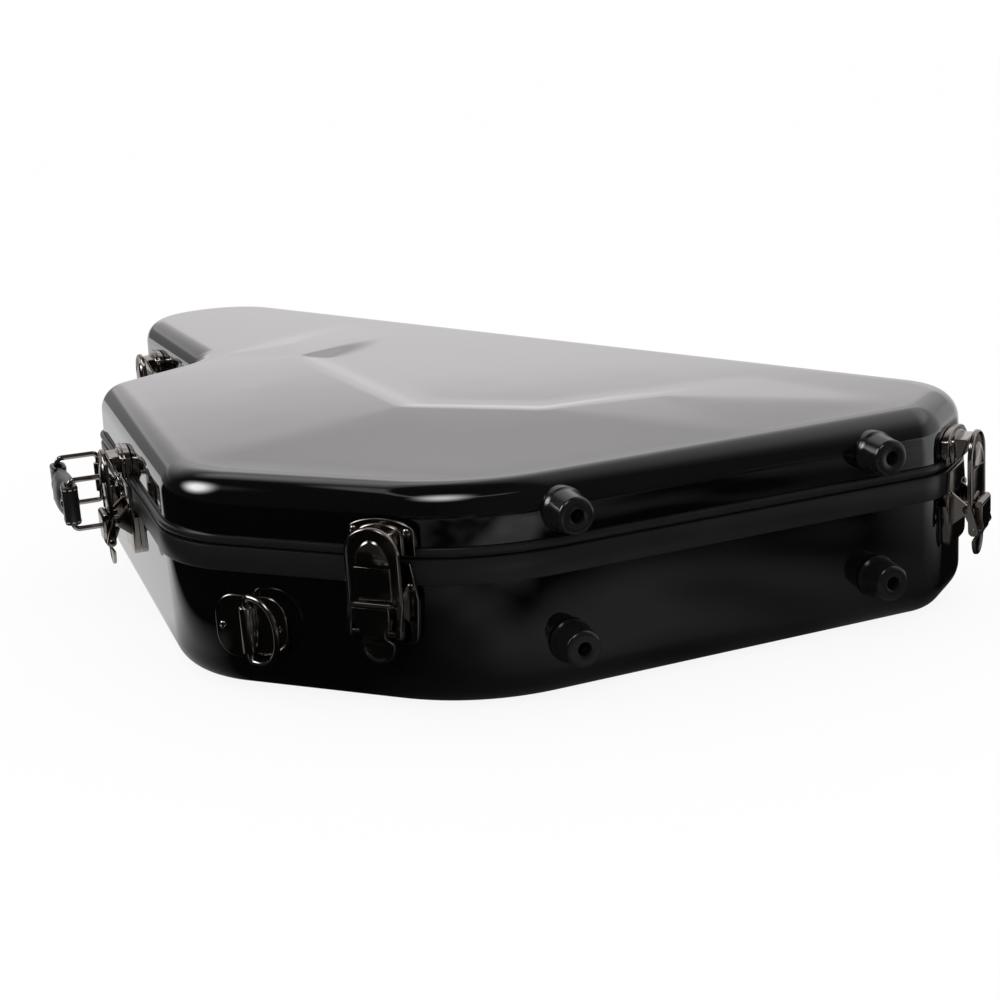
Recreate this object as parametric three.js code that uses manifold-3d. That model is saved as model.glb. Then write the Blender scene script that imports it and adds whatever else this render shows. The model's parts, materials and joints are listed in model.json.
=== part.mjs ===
// A moulded hard case for a musical instrument: two deep shells hinged along the
// long straight side and held shut by four lever latches.
// Millimetres, Z up. The origin is on the flat underside of the base, at the middle
// of the outline's length and width. X runs along the hinge side, Y points to the hinges.

import * as THREE from 'three';
import { mergeVertices } from 'three/addons/utils/BufferGeometryUtils.js';
import Module from 'manifold-3d';

const wasm = await Module();
wasm.setup();

// Overall sizes
const caseLength = 875;
const caseWidth = 479;
const baseHeight = 101;
const lidHeight = 43;
const shellWall = 3.6;
const seatGap = 0.3;
const cutOverrun = 2;

// Corners of the outline at the rim, as shares of the length and width
const outlineCorners = {
  front: { placeShares: [0.3511, -0.3508], radiusShare: 0.28 },
  rightNear: { placeShares: [0.5, 0.3117], radiusShare: 0.084 },
  rightFar: { placeShares: [0.4694, 0.5], radiusShare: 0.13 },
  tailBack: { placeShares: [-0.4959, 0.5], radiusShare: 0.165 },
  tailFront: { placeShares: [-0.5, 0.2512], radiusShare: 0.13 },
  notch: { placeShares: [-0.2432, 0.0504], radiusShare: 0.1 },
  lobe: { placeShares: [-0.2284, -0.1832], radiusShare: 0.075 },
  shoulder: { placeShares: [0.1174, -0.5], radiusShare: 0.198 },
};
const cornerSteps = 5;

// Shell section, measured inward from the rim band's outer face
const bandStand = 3;
const bandHeight = 18;
const beadHeight = 4.4;
const partingGap = 1.2;
const baseDraft = 0.6;
const lidDraft = 0.6;
const baseEdgeRadius = 22;
const lidEdgeRadius = 20;
const edgeSteps = 4;
const innerEdgeShare = 0.75;
const filletRoomShare = 0.9995;
const sealWidth = 2.4;

// Raised creases of the lid: a chain of ridges, each a crest between two ends, with the
// feet of its slopes. Places are shares of the length and width, rises are shares of
// the crease's height.
const lidSkin = 3.4;
const creaseHeight = 4;
const creaseSink = 1.5;
const creasePoints = {
  neckRoot: { placeShares: [-0.2257, 0.0755], riseShare: 0 },
  neckRidge: { placeShares: [-0.188, 0.19], riseShare: 0.85 },
  neckEnd: { placeShares: [-0.197, 0.36], riseShare: 0.1 },
  heelEnd: { placeShares: [-0.162, 0.33], riseShare: 0.1 },
  heel: { placeShares: [-0.128, 0.119], riseShare: 1 },
  waist: { placeShares: [0.122, -0.061], riseShare: 1 },
  bend: { placeShares: [0.23, 0.031], riseShare: 0.75 },
  fade: { placeShares: [0.275, 0.185], riseShare: 0.4 },
  tip: { placeShares: [0.322, 0.33], riseShare: 0.05 },
};
const creaseFeet = {
  neckRoot: [-0.238, 0.215],
  neckEnd: [-0.236, 0.4],
  heelEnd: [-0.146, 0.36],
  heel: [-0.113, 0.155],
  waist: [0.1246, -0.017],
  bend: [0.216, 0.063],
  fade: [0.255, 0.207],
  tip: [0.305, 0.35],
  lobe: [-0.198, -0.135],
  shoulder: [0.105, -0.42],
  front: [0.322, -0.272],
  side: [0.4138, 0.082],
  end: [0.455, 0.33],
};
const creaseRidges = [
  { crests: ['neckRoot', 'heel', 'waist'], feet: ['heel', 'waist', 'lobe', 'shoulder'] },
  { crests: ['waist', 'bend'], feet: ['waist', 'bend', 'shoulder', 'front'] },
  { crests: ['bend', 'fade'], feet: ['bend', 'fade', 'front', 'side'] },
  { crests: ['fade', 'tip'], feet: ['fade', 'tip', 'side', 'end'] },
  {
    crests: ['neckRoot', 'neckRidge', 'neckEnd', 'heelEnd', 'heel'],
    feet: ['neckRoot', 'neckEnd', 'heelEnd', 'heel'],
  },
];

// Feet
const footBase = 29;
const footTip = 24;
const footHeight = 20;
const footBore = 9;
const footBoreDepth = 14;
const footEdge = 1.6;
const footRoot = 9;
const footRise = 22;
const footDrop = 63;
const footShares = [0.193, 0.85];
const footSides = 20;
const footScrewHead = 8;
const footScrewHeight = 2.4;

// Hinges
const hingeShares = [0.15, 0.5, 0.85];
const hingeLength = 64;
const hingeLeafHeight = 24;
const hingeLeafThickness = 1.8;
const hingePinRadius = 2;
const hingeKnuckleRadius = 4.4;
const hingeAxisStand = 5.4;
const hingeSides = 12;
const hingeWebReach = 6.5;
const knuckleGap = 0.4;

// Latches
const latchWidth = 46;
const latchPlate = 1.6;
const latchPlateTop = 2.5;
const latchPlateDrop = 55;
const latchTopShare = 0.81;
const latchSideDrop = 26;
const latchTaperDrop = 50;
const latchTaperShare = 0.9;
const latchToeShare = 0.62;
const latchEar = 2.6;
const latchEarSpan = 30.6;
const latchEarRoot = 24;
const latchEarRadius = 3.2;
const latchPivotDrop = 29;
const latchPivotStand = 12;
const latchPinRadius = 2;
const strapPivotDrop = 43;
const strapPivotStand = 17.4;
const strapWidth = 38;
const strapThickness = 1.8;
const strapArm = 3.4;
const strapEyeRadius = 3.4;
const strapArchShare = 0.9;
const strapPanelGap = 2;
const strapTop = 23;
const strapStand = 13.6;
const strapBossStand = 3.6;
const strapPanelWidth = 25;
const strapBossArchShare = 0.5;
const strapBossWidth = 23;
const strapBossBottom = 0;
const strapBossTop = 15;
const strapWebBottom = -25.4;
const leverWidth = 25;
const leverDrop = 64;
const leverThickness = 2.2;
const leverStand = 19.6;
const leverTopRise = 3;
const leverCheek = 2;
const leverCheekEdge = 4;
const leverNeckShare = 0.68;
const leverNeckHeight = 4;
const leverNeckSlope = 4;
const leverTabShare = 0.96;
const keeperRise = 25;
const keeperBottom = 2.5;
const keeperArchShare = 0.35;
const keeperLedgeStand = 12.2;
const keeperLedgeFootStand = 7.4;
const keeperLedgeWidth = 27;
const keeperLedgeBottom = 6;
const keeperLedgeTop = 19;
const keeperLedgeArchShare = 0.6;
const pinSides = 12;
const screwRadius = 2.3;
const screwHeight = 1.1;
const screwTopShare = 0.7;
const screwReach = 18.4;
const screwDrop = 18;
const screwRise = 17;
const latchFrontShare = 0.735;
const latchSideShare = 0.45;
const latchTailShare = 0.36;
const latchRightShare = 0.33;

// Carrying-strap rings
const ringPlateWidth = 54;
const ringPlateHeight = 43;
const ringPlateCorner = 15;
const ringPlateThickness = 2;
const ringScrewReach = 21;
const ringPlateDrop = 55;
const ringLugWidth = 9.6;
const ringWire = 4.4;
const ringHeight = 44;
const ringReach = 28;
const ringAxisStand = 5.4;
const wireSides = 6;
const arcSteps = 4;
const leastStepShare = 0.1;
const ringBendShare = 0.9;
const ringRestTurn = 72;
const ringFrontShare = 0.262;
const ringTailShare = 0.64;

// Handle, beside the side latch
const handleLatchGap = 7;
const handleSpan = 80;
const handleDrop = 26;
const handleRingHeight = 38;
const handleRingReach = 32;
const handleWire = 4.2;
const handleStrapHeight = 30;
const handleGripThickness = 15;
const handleLoopThickness = 4;
const handlePlateWidth = 24;
const handlePlateHeight = 40;
const handlePlateThickness = 2;
const handleScrewShare = 1.8;
const handleLugHeight = 23;
const handleLugReach = 8;
const handleAxisStand = 5.6;
const handleEyeClear = 0.5;
const handleBendShare = 0.22;
const handleCornerShare = 0.3;

// Lining
const liningWall = 11;
const liningFloor = 14;
const liningTop = 5;
const lidLiningDepth = 16;
const liningClear = 0.5;
const cradleLength = 46;
const cradleHeight = 52;
const cradleShare = -0.36;
const cradleSlot = 58;
const cradleSlotDepth = 26;
const cradleSlotShare = 0.3;
const cradleWidth = 96;

// Heights that several pieces share
const parting = baseHeight;
const baseRim = parting - partingGap;
const lidRim = parting + partingGap;
const lidTop = parting + lidHeight;
const diagonalShare = Math.SQRT1_2;

// Looks
const looks = {
  shell: { color: 0x0b0b0c, roughness: 0.12, metalness: 0 },
  band: { color: 0x161617, roughness: 0.38, metalness: 0 },
  rubber: { color: 0x101010, roughness: 0.7, metalness: 0 },
  hardware: { color: 0x2b2825, roughness: 0.2, metalness: 1 },
  foot: { color: 0x0d0d0d, roughness: 0.25, metalness: 0 },
  leather: { color: 0x0f0f10, roughness: 0.55, metalness: 0 },
  lining: { color: 0x1a1a1d, roughness: 0.95, metalness: 0 },
};

const group = new THREE.Group();

function addMesh(name, geometry, look) {
  const mesh = new THREE.Mesh(geometry, new THREE.MeshStandardMaterial(looks[look]));
  mesh.name = name;
  group.add(mesh);
  return mesh;
}

// Solids: booleans on closed meshes
function toSolid(geometry) {
  const bare = geometry.clone();
  bare.deleteAttribute('normal');
  bare.deleteAttribute('uv');
  const merged = mergeVertices(bare);
  return new wasm.Manifold(new wasm.Mesh({
    numProp: 3,
    vertProperties: new Float32Array(merged.attributes.position.array),
    triVerts: new Uint32Array(merged.index.array),
  }));
}

function toGeometry(solid) {
  const mesh = solid.getMesh();
  const geometry = new THREE.BufferGeometry();
  geometry.setAttribute('position', new THREE.BufferAttribute(new Float32Array(mesh.vertProperties), 3));
  geometry.setIndex(new THREE.BufferAttribute(new Uint32Array(mesh.triVerts), 1));
  geometry.computeVertexNormals();
  return geometry;
}

function join(...geometries) {
  return toGeometry(geometries.map(toSolid).reduce((whole, piece) => whole.add(piece)));
}

function cut(geometry, ...tools) {
  return toGeometry(tools.map(toSolid).reduce((whole, tool) => whole.subtract(tool), toSolid(geometry)));
}

// The outline and its offsets
// Where two fillets would meet on one side, both give way.
function cornersFrom(list) {
  const corners = list.map(({ placeShares, radiusShare }) => ({
    place: new THREE.Vector2(placeShares[0] * caseLength, placeShares[1] * caseWidth),
    radius: radiusShare * caseWidth,
  }));
  const count = corners.length;
  const ways = corners.map(({ place }, index) => corners[(index + 1) % count].place.clone().sub(place));
  const reaches = corners.map(({ radius }, index) => (
    radius * Math.tan(ways[(index + count - 1) % count].angleTo(ways[index]) / 2)
  ));
  const rooms = ways.map((way, index) => (
    Math.min(1, (way.length() * filletRoomShare) / (reaches[index] + reaches[(index + 1) % count]))
  ));
  return corners.map(({ place, radius }, index) => ({
    place,
    radius: radius * Math.min(rooms[index], rooms[(index + count - 1) % count]),
  }));
}

function crossing(pointA, wayA, pointB, wayB) {
  const along = pointB.clone().sub(pointA).cross(wayB) / wayA.cross(wayB);
  return pointA.clone().addScaledVector(wayA, along);
}

function outwardOf(way) {
  return new THREE.Vector2(way.y, -way.x);
}

// Every offset of one outline has as many points, so that its levels can be lofted.
function offsetOutline(corners, inset, leastRadius) {
  const count = corners.length;
  const sides = corners.map((corner, index) => {
    const way = corners[(index + 1) % count].place.clone().sub(corner.place).normalize();
    return { point: corner.place.clone().addScaledVector(outwardOf(way), -inset), way };
  });
  return corners.flatMap((corner, index) => {
    const before = sides[(index + count - 1) % count];
    const after = sides[index];
    const tip = crossing(before.point, before.way, after.point, after.way);
    const turn = Math.atan2(before.way.cross(after.way), before.way.dot(after.way));
    const bulge = Math.sign(turn);
    const radius = Math.max(corner.radius - bulge * inset, leastRadius);
    const reach = radius * Math.tan(Math.abs(turn) / 2);
    const start = tip.clone().addScaledVector(before.way, -reach);
    const centre = start.clone().addScaledVector(outwardOf(before.way), -bulge * radius);
    return Array.from({ length: cornerSteps + 1 }, (_, step) => (
      start.clone().rotateAround(centre, (turn * step) / cornerSteps)
    ));
  });
}

const caseCorners = cornersFrom(Object.values(outlineCorners));

function ringAt([height, inset]) {
  return offsetOutline(caseCorners, inset, shellWall)
    .map((point) => new THREE.Vector3(point.x, point.y, height));
}

// Lofts through rings of equal count
function capFaces(ring, start, facesUp) {
  const flat = ring.map((point) => new THREE.Vector2(point.x, point.y));
  return THREE.ShapeUtils.triangulateShape(flat, []).flatMap(([a, b, c]) => {
    const up = THREE.ShapeUtils.area([flat[a], flat[b], flat[c]]) > 0;
    return up === facesUp ? [start + a, start + b, start + c] : [start + a, start + c, start + b];
  });
}

function loft(rings, closed = false) {
  const count = rings[0].length;
  const index = [];
  const spans = closed ? rings.length : rings.length - 1;
  for (let level = 0; level < spans; level += 1) {
    const here = level * count;
    const next = ((level + 1) % rings.length) * count;
    for (let step = 0; step < count; step += 1) {
      const side = (step + 1) % count;
      index.push(here + step, here + side, next + side);
      index.push(here + step, next + side, next + step);
    }
  }
  if (!closed) {
    index.push(...capFaces(rings[0], 0, false));
    index.push(...capFaces(rings.at(-1), (rings.length - 1) * count, true));
  }
  const positions = rings.flat().flatMap((point) => point.toArray());
  const geometry = new THREE.BufferGeometry();
  geometry.setAttribute('position', new THREE.Float32BufferAttribute(positions, 3));
  geometry.setIndex(index);
  geometry.computeVertexNormals();
  return geometry;
}

// Walls of the two shells
// A rounded edge from a flat face to a wall, as heights and insets.
function roundedEdge(faceHeight, direction, wallInset, radius) {
  return Array.from({ length: edgeSteps + 1 }, (_, step) => {
    const angle = (Math.PI / 2) * (step / edgeSteps);
    return [
      faceHeight + direction * radius * (1 - Math.cos(angle)),
      wallInset + radius * (1 - Math.sin(angle)),
    ];
  });
}

// The wall's inset at a height: straight beside the rim band, then drafted.
function baseInset(height) {
  const straight = parting - bandHeight;
  const share = (straight - height) / (straight - baseEdgeRadius);
  return bandStand + baseDraft * THREE.MathUtils.clamp(share, 0, 1);
}

function lidInset(height) {
  const straight = lidRim + beadHeight;
  const share = (height - straight) / (lidTop - lidEdgeRadius - straight);
  return bandStand + lidDraft * THREE.MathUtils.clamp(share, 0, 1);
}

function bandLoop(bottom, top, outerInset, innerInset) {
  const section = [[bottom, outerInset], [top, outerInset], [top, innerInset], [bottom, innerInset]];
  return loft(section.map(ringAt), true);
}

// Base shell, rim band and seal
const baseWallInset = bandStand + baseDraft;
const baseLevels = [
  ...roundedEdge(0, 1, baseWallInset, baseEdgeRadius),
  [parting - bandHeight, bandStand],
  [baseRim, bandStand],
  [baseRim, bandStand + shellWall],
  [parting - bandHeight, bandStand + shellWall],
  ...roundedEdge(shellWall, 1, baseWallInset + shellWall, baseEdgeRadius * innerEdgeShare).reverse(),
];
addMesh('base_shell', loft(baseLevels.map(ringAt)), 'shell');
addMesh('base_rim_band', bandLoop(parting - bandHeight, baseRim, 0, bandStand - seatGap), 'band');
addMesh('rim_seal', bandLoop(
  baseRim + seatGap,
  lidRim - seatGap,
  bandStand + shellWall / 2 - sealWidth / 2,
  bandStand + shellWall / 2 + sealWidth / 2,
), 'rubber');

// Lid shell with its raised creases, and rim bead
const lidWallInset = bandStand + lidDraft;
const lidCeiling = lidTop - lidSkin;
const lidLevels = [
  ...roundedEdge(lidCeiling, -1, lidWallInset + shellWall, lidEdgeRadius * innerEdgeShare),
  [lidRim + beadHeight, bandStand + shellWall],
  [lidRim, bandStand + shellWall],
  [lidRim, bandStand],
  [lidRim + beadHeight, bandStand],
  ...roundedEdge(lidTop, -1, lidWallInset, lidEdgeRadius).reverse(),
];

function creaseRidge({ crests, feet }) {
  const tops = crests.map((name) => creasePoints[name])
    .map(({ placeShares, riseShare }) => [placeShares, lidTop + creaseHeight * riseShare]);
  const bases = feet.flatMap((name) => [
    [creaseFeet[name], lidTop],
    [creaseFeet[name], lidTop - creaseSink],
  ]);
  const sunk = tops.map(([placeShares]) => [placeShares, lidTop - creaseSink]);
  return wasm.Manifold.hull([...tops, ...bases, ...sunk].map(([placeShares, height]) => (
    [placeShares[0] * caseLength, placeShares[1] * caseWidth, height]
  )));
}

const lidSolid = creaseRidges.map(creaseRidge)
  .reduce((whole, ridge) => whole.add(ridge), toSolid(loft(lidLevels.map(ringAt))));
addMesh('lid_shell', toGeometry(lidSolid), 'shell');
addMesh('lid_rim_bead', bandLoop(lidRim, lidRim + beadHeight, 0, bandStand - seatGap), 'band');

// Lining: a pad round each shell's wall, and a flat pad inside it
// The point of a rounded edge at an inset.
function edgePointAt(faceHeight, direction, wallInset, radius, inset) {
  const sine = Math.max(0, 1 - (inset - wallInset) / radius);
  return [faceHeight + direction * radius * (1 - Math.sqrt(1 - sine * sine)), inset];
}

const baseLiningInset = baseWallInset + shellWall + liningClear;
const basePadInset = baseLiningInset + liningWall;
const baseFloorInset = basePadInset + seatGap;
const baseEdge = [shellWall + liningClear, 1, baseLiningInset, baseEdgeRadius * innerEdgeShare];
const baseLiningLevels = [
  edgePointAt(...baseEdge, basePadInset),
  ...roundedEdge(...baseEdge).filter(([, inset]) => inset < basePadInset),
  [baseRim - liningTop, baseLiningInset],
  [baseRim - liningTop, basePadInset],
];
addMesh('base_lining', loft(baseLiningLevels.map(ringAt), true), 'lining');
const baseFloorLevels = [
  ...roundedEdge(...baseEdge).filter(([, inset]) => inset > baseFloorInset),
  edgePointAt(...baseEdge, baseFloorInset),
  [shellWall + liningClear + liningFloor, baseFloorInset],
];
addMesh('base_floor_pad', loft(baseFloorLevels.map(ringAt)), 'lining');

const lidLiningInset = lidWallInset + shellWall + liningClear;
const lidPadInset = lidLiningInset + liningWall;
const lidTopInset = lidPadInset + seatGap;
const lidEdge = [lidCeiling - liningClear, -1, lidLiningInset, lidEdgeRadius * innerEdgeShare];
const lidLiningLevels = [
  [lidRim + liningTop, lidLiningInset],
  ...roundedEdge(...lidEdge).reverse().filter(([, inset]) => inset < lidPadInset),
  edgePointAt(...lidEdge, lidPadInset),
  [lidRim + liningTop, lidPadInset],
];
addMesh('lid_lining', loft(lidLiningLevels.map(ringAt), true), 'lining');
const lidTopLevels = [
  [lidCeiling - lidLiningDepth, lidTopInset],
  edgePointAt(...lidEdge, lidTopInset),
  ...roundedEdge(...lidEdge).reverse().filter(([, inset]) => inset > lidTopInset),
];
addMesh('lid_top_pad', loft(lidTopLevels.map(ringAt)), 'lining');

// The closed case's outer faces, moved out by the seating gap
const outerLevels = [
  ...roundedEdge(-seatGap, 1, baseWallInset - seatGap, baseEdgeRadius + seatGap),
  [parting - bandHeight - seatGap, bandStand - seatGap],
  [parting - bandHeight - seatGap, -seatGap],
  [lidRim + beadHeight + seatGap, -seatGap],
  [lidRim + beadHeight + seatGap, bandStand - seatGap],
  ...roundedEdge(lidTop + seatGap, -1, lidWallInset - seatGap, lidEdgeRadius + seatGap).reverse(),
];
const outerFaces = loft(outerLevels.map(ringAt));

// Shapes and places for the hardware
// A panel's own frame: X along the panel, Y up from the parting line, Z outward from
// the rim band's face.
function panelMatrix(fromName, toName, alongShare, shift = 0) {
  const [from, to] = cornersFrom([outlineCorners[fromName], outlineCorners[toName]]);
  const way = to.place.clone().sub(from.place).normalize();
  const outward = outwardOf(way);
  const place = from.place.clone().lerp(to.place, alongShare).addScaledVector(way, shift);
  return new THREE.Matrix4()
    .makeBasis(
      new THREE.Vector3(way.x, way.y, 0),
      new THREE.Vector3(0, 0, 1),
      new THREE.Vector3(outward.x, outward.y, 0),
    )
    .setPosition(place.x, place.y, parting);
}

// A seat on the drafted wall of either shell, leaning with it.
const baseLean = Math.atan(baseDraft / (parting - bandHeight - baseEdgeRadius));
const lidLean = Math.atan(lidDraft / (lidTop - lidEdgeRadius - lidRim - beadHeight));

function wallSeat(panel, height) {
  const inset = height < 0 ? baseInset(parting + height) : lidInset(parting + height);
  const lean = height < 0 ? baseLean : -lidLean;
  return panel.clone()
    .multiply(new THREE.Matrix4().makeTranslation(0, height, seatGap - inset))
    .multiply(new THREE.Matrix4().makeRotationX(lean));
}

function addOnPanel(name, geometry, look, matrix) {
  addMesh(name, geometry, look).applyMatrix4(matrix);
}

function shapeFrom(points) {
  return new THREE.Shape(points.map(([x, y]) => new THREE.Vector2(x, y)));
}

function extruded(shape, depth) {
  return new THREE.ExtrudeGeometry(shape, { depth, bevelEnabled: false, curveSegments: arcSteps });
}

// A face outline in X and Y, thick along Z.
function plate(shape, back, thickness) {
  return extruded(shape, thickness).translate(0, 0, back);
}

// A side profile of stands (Z) and heights (Y), run along X.
function bar(shape, width, middle = 0) {
  return extruded(shape, width).translate(0, 0, -width / 2).rotateY(-Math.PI / 2).translate(middle, 0, 0);
}

function block(width, height, depth, x, y, back) {
  return new THREE.BoxGeometry(width, height, depth).translate(x, y, back + depth / 2);
}

function pin(radius, length, height, stand, sides = pinSides) {
  return new THREE.CylinderGeometry(radius, radius, length, sides)
    .rotateZ(Math.PI / 2)
    .translate(0, height, stand);
}

function post(radius, length, x, height, stand, sides = pinSides) {
  return new THREE.CylinderGeometry(radius, radius, length, sides).translate(x, height, stand);
}

function screwHead(x, y, back) {
  return new THREE.CylinderGeometry(screwRadius * screwTopShare, screwRadius, screwHeight, pinSides)
    .rotateX(Math.PI / 2)
    .translate(x, y, back + screwHeight / 2);
}

function roundedRectangle(width, height, radius, middle) {
  const shape = new THREE.Shape();
  const left = -width / 2;
  const bottom = middle - height / 2;
  shape.moveTo(left + radius, bottom);
  shape.lineTo(-left - radius, bottom);
  shape.absarc(-left - radius, bottom + radius, radius, -Math.PI / 2, 0);
  shape.lineTo(-left, bottom + height - radius);
  shape.absarc(-left - radius, bottom + height - radius, radius, 0, Math.PI / 2);
  shape.lineTo(left + radius, bottom + height);
  shape.absarc(left + radius, bottom + height - radius, radius, Math.PI / 2, Math.PI);
  shape.lineTo(left, bottom + radius);
  shape.absarc(left + radius, bottom + radius, radius, Math.PI, Math.PI * 1.5);
  return shape;
}

// The arched top of a plate, from its right side over to its left.
function archOver(shape, half, top, archShare) {
  shape.absellipse(0, top - half * archShare, half, half * archShare, 0, Math.PI, false, 0);
}

// A link's side: two round ends joined by straight flanks.
function linkShape(startX, startY, startRadius, endX, endY, endRadius) {
  const heading = Math.atan2(endY - startY, endX - startX);
  const shape = new THREE.Shape();
  const quarter = Math.PI / 2;
  shape.absarc(startX, startY, startRadius, heading + quarter, heading + quarter * 3);
  shape.absarc(endX, endY, endRadius, heading - quarter, heading + quarter);
  shape.closePath();
  return shape;
}

function intersectAll(...geometries) {
  return toGeometry(geometries.map(toSolid).reduce((whole, piece) => whole.intersect(piece)));
}

// A plate on the base wall that steps over the rim band, and one on the lid wall that
// steps over the bead: the back follows what lies behind it.
function baseBackProfile(topDrop, bottomDrop, front) {
  const step = -bandHeight - seatGap * 2;
  return shapeFrom([
    [front, -bottomDrop],
    [front, -topDrop],
    [seatGap, -topDrop],
    [seatGap, step],
    [seatGap - baseInset(parting + step), step],
    [seatGap - baseInset(parting - bottomDrop), -bottomDrop],
  ]);
}

function lidBackProfile(bottomRise, topRise, front) {
  const step = partingGap + beadHeight + seatGap * 2;
  return shapeFrom([
    [front, topRise],
    [seatGap - lidInset(parting + topRise), topRise],
    [seatGap - lidInset(parting + step), step],
    [seatGap, step],
    [seatGap, bottomRise],
    [front, bottomRise],
  ]);
}

// Latches
function latchBasePlate() {
  const half = latchWidth / 2;
  const front = seatGap + latchPlate;
  const face = plate(shapeFrom([
    [-half * latchTopShare, -latchPlateTop],
    [-half, -latchSideDrop],
    [-half * latchTaperShare, -latchTaperDrop],
    [-half * latchToeShare, -latchPlateDrop],
    [half * latchToeShare, -latchPlateDrop],
    [half * latchTaperShare, -latchTaperDrop],
    [half, -latchSideDrop],
    [half * latchTopShare, -latchPlateTop],
  ]), -baseWallInset, baseWallInset + front + cutOverrun);
  const body = intersectAll(bar(baseBackProfile(latchPlateTop, latchPlateDrop, front), latchWidth), face);
  const earRoot = front - latchPlate / 2;
  const ears = [-1, 1].map((side) => bar(
    shapeFrom([
      [earRoot, -latchPivotDrop + latchEarRoot / 2],
      [latchPivotStand, -latchPivotDrop + latchEarRadius],
      [latchPivotStand + latchEarRadius * diagonalShare, -latchPivotDrop + latchEarRadius * diagonalShare],
      [latchPivotStand + latchEarRadius, -latchPivotDrop],
      [latchPivotStand + latchEarRadius * diagonalShare, -latchPivotDrop - latchEarRadius * diagonalShare],
      [latchPivotStand, -latchPivotDrop - latchEarRadius],
      [earRoot, -latchPivotDrop - latchEarRoot / 2],
    ].reverse()),
    latchEar,
    side * (latchEarSpan - latchEar) / 2,
  ));
  const axle = pin(latchPinRadius, latchEarSpan - latchEar, -latchPivotDrop, latchPivotStand);
  const heads = [-1, 1].map((side) => screwHead(side * screwReach, -screwDrop, front - seatGap / 2));
  return join(body, ...ears, axle, ...heads);
}

function latchKeeper() {
  const half = latchWidth / 2;
  const front = seatGap + latchPlate;
  const outline = new THREE.Shape();
  outline.moveTo(-half, keeperBottom);
  outline.lineTo(half, keeperBottom);
  outline.lineTo(half, keeperRise - half * keeperArchShare);
  archOver(outline, half, keeperRise, keeperArchShare);
  outline.closePath();
  const face = plate(outline, -lidWallInset, lidWallInset + front + cutOverrun);
  const body = intersectAll(bar(lidBackProfile(keeperBottom, keeperRise, front), latchWidth), face);
  const ledge = new THREE.Shape();
  const ledgeHalf = keeperLedgeWidth / 2;
  ledge.moveTo(-ledgeHalf, keeperLedgeBottom);
  ledge.lineTo(ledgeHalf, keeperLedgeBottom);
  ledge.lineTo(ledgeHalf, keeperLedgeTop - ledgeHalf * keeperLedgeArchShare);
  archOver(ledge, ledgeHalf, keeperLedgeTop, keeperLedgeArchShare);
  ledge.closePath();
  const ledgeBack = front - latchPlate / 2;
  const hook = bar(shapeFrom([
    [ledgeBack, keeperLedgeBottom],
    [ledgeBack, keeperLedgeTop],
    [keeperLedgeStand, keeperLedgeTop],
    [keeperLedgeFootStand, keeperLedgeBottom],
  ]), keeperLedgeWidth);
  const raised = intersectAll(plate(ledge, ledgeBack, keeperLedgeStand - ledgeBack), hook);
  const heads = [-1, 1].map((side) => screwHead(side * screwReach, screwRise, front - seatGap / 2));
  return join(body, raised, ...heads);
}

function latchLever() {
  const half = leverWidth / 2;
  const top = -latchPivotDrop + leverTopRise;
  const bottom = -leverDrop;
  const neck = half * leverNeckShare;
  const tab = half * leverTabShare;
  const neckTop = -strapPivotDrop + leverNeckHeight / 2;
  const neckBottom = -strapPivotDrop - leverNeckHeight / 2;
  const cover = new THREE.Shape();
  cover.moveTo(-half, top);
  cover.lineTo(-half, neckTop + leverNeckSlope);
  cover.lineTo(-neck, neckTop);
  cover.lineTo(-neck, neckBottom);
  cover.absarc(0, bottom + tab, tab, Math.PI, Math.PI * 2);
  cover.lineTo(neck, neckBottom);
  cover.lineTo(neck, neckTop);
  cover.lineTo(half, neckTop + leverNeckSlope);
  cover.lineTo(half, top);
  const skin = plate(cover, leverStand, leverThickness);
  const cheeks = [-1, 1].map((side) => bar(
    shapeFrom([
      [latchPivotStand - leverCheekEdge, -latchPivotDrop + leverCheekEdge],
      [latchPivotStand - leverCheekEdge, -latchPivotDrop - leverCheekEdge],
      [strapPivotStand - leverCheekEdge, neckBottom],
      [leverStand + leverThickness / 2, neckBottom],
      [leverStand + leverThickness / 2, top],
      [latchPivotStand, top],
    ]),
    leverCheek,
    side * (neck - leverCheek / 2),
  ));
  const axle = pin(latchPinRadius, strapWidth, -strapPivotDrop, strapPivotStand);
  const bore = pin(latchPinRadius + seatGap, leverWidth + cutOverrun, -latchPivotDrop, latchPivotStand);
  return cut(join(skin, ...cheeks, axle), bore);
}

function latchStrap() {
  const half = strapWidth / 2;
  const outline = new THREE.Shape();
  outline.moveTo(-half, strapWebBottom);
  outline.lineTo(half, strapWebBottom);
  outline.lineTo(half, strapTop - half * strapArchShare);
  archOver(outline, half, strapTop, strapArchShare);
  outline.closePath();
  const web = plate(outline, strapStand, strapThickness);
  const bossHalf = strapBossWidth / 2;
  const boss = new THREE.Shape();
  boss.moveTo(-bossHalf, strapBossBottom);
  boss.lineTo(bossHalf, strapBossBottom);
  boss.lineTo(bossHalf, strapBossTop - bossHalf * strapBossArchShare);
  archOver(boss, bossHalf, strapBossTop, strapBossArchShare);
  boss.closePath();
  const raised = plate(boss, strapStand + strapThickness / 2, strapBossStand + strapThickness / 2);
  const panel = block(
    strapPanelWidth,
    strapBossBottom - strapWebBottom - strapPanelGap * 2,
    strapThickness,
    0,
    (strapBossBottom + strapWebBottom) / 2,
    strapStand + strapThickness / 2,
  );
  const arms = [-1, 1].map((side) => bar(
    linkShape(
      strapPivotStand,
      -strapPivotDrop,
      strapEyeRadius,
      strapStand + strapThickness / 2,
      strapWebBottom + strapThickness,
      strapThickness / 2,
    ),
    strapArm,
    side * (half - strapArm / 2),
  ));
  const eyes = pin(latchPinRadius + seatGap, strapWidth + cutOverrun, -strapPivotDrop, strapPivotStand);
  return cut(join(web, raised, panel, ...arms), eyes);
}

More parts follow.
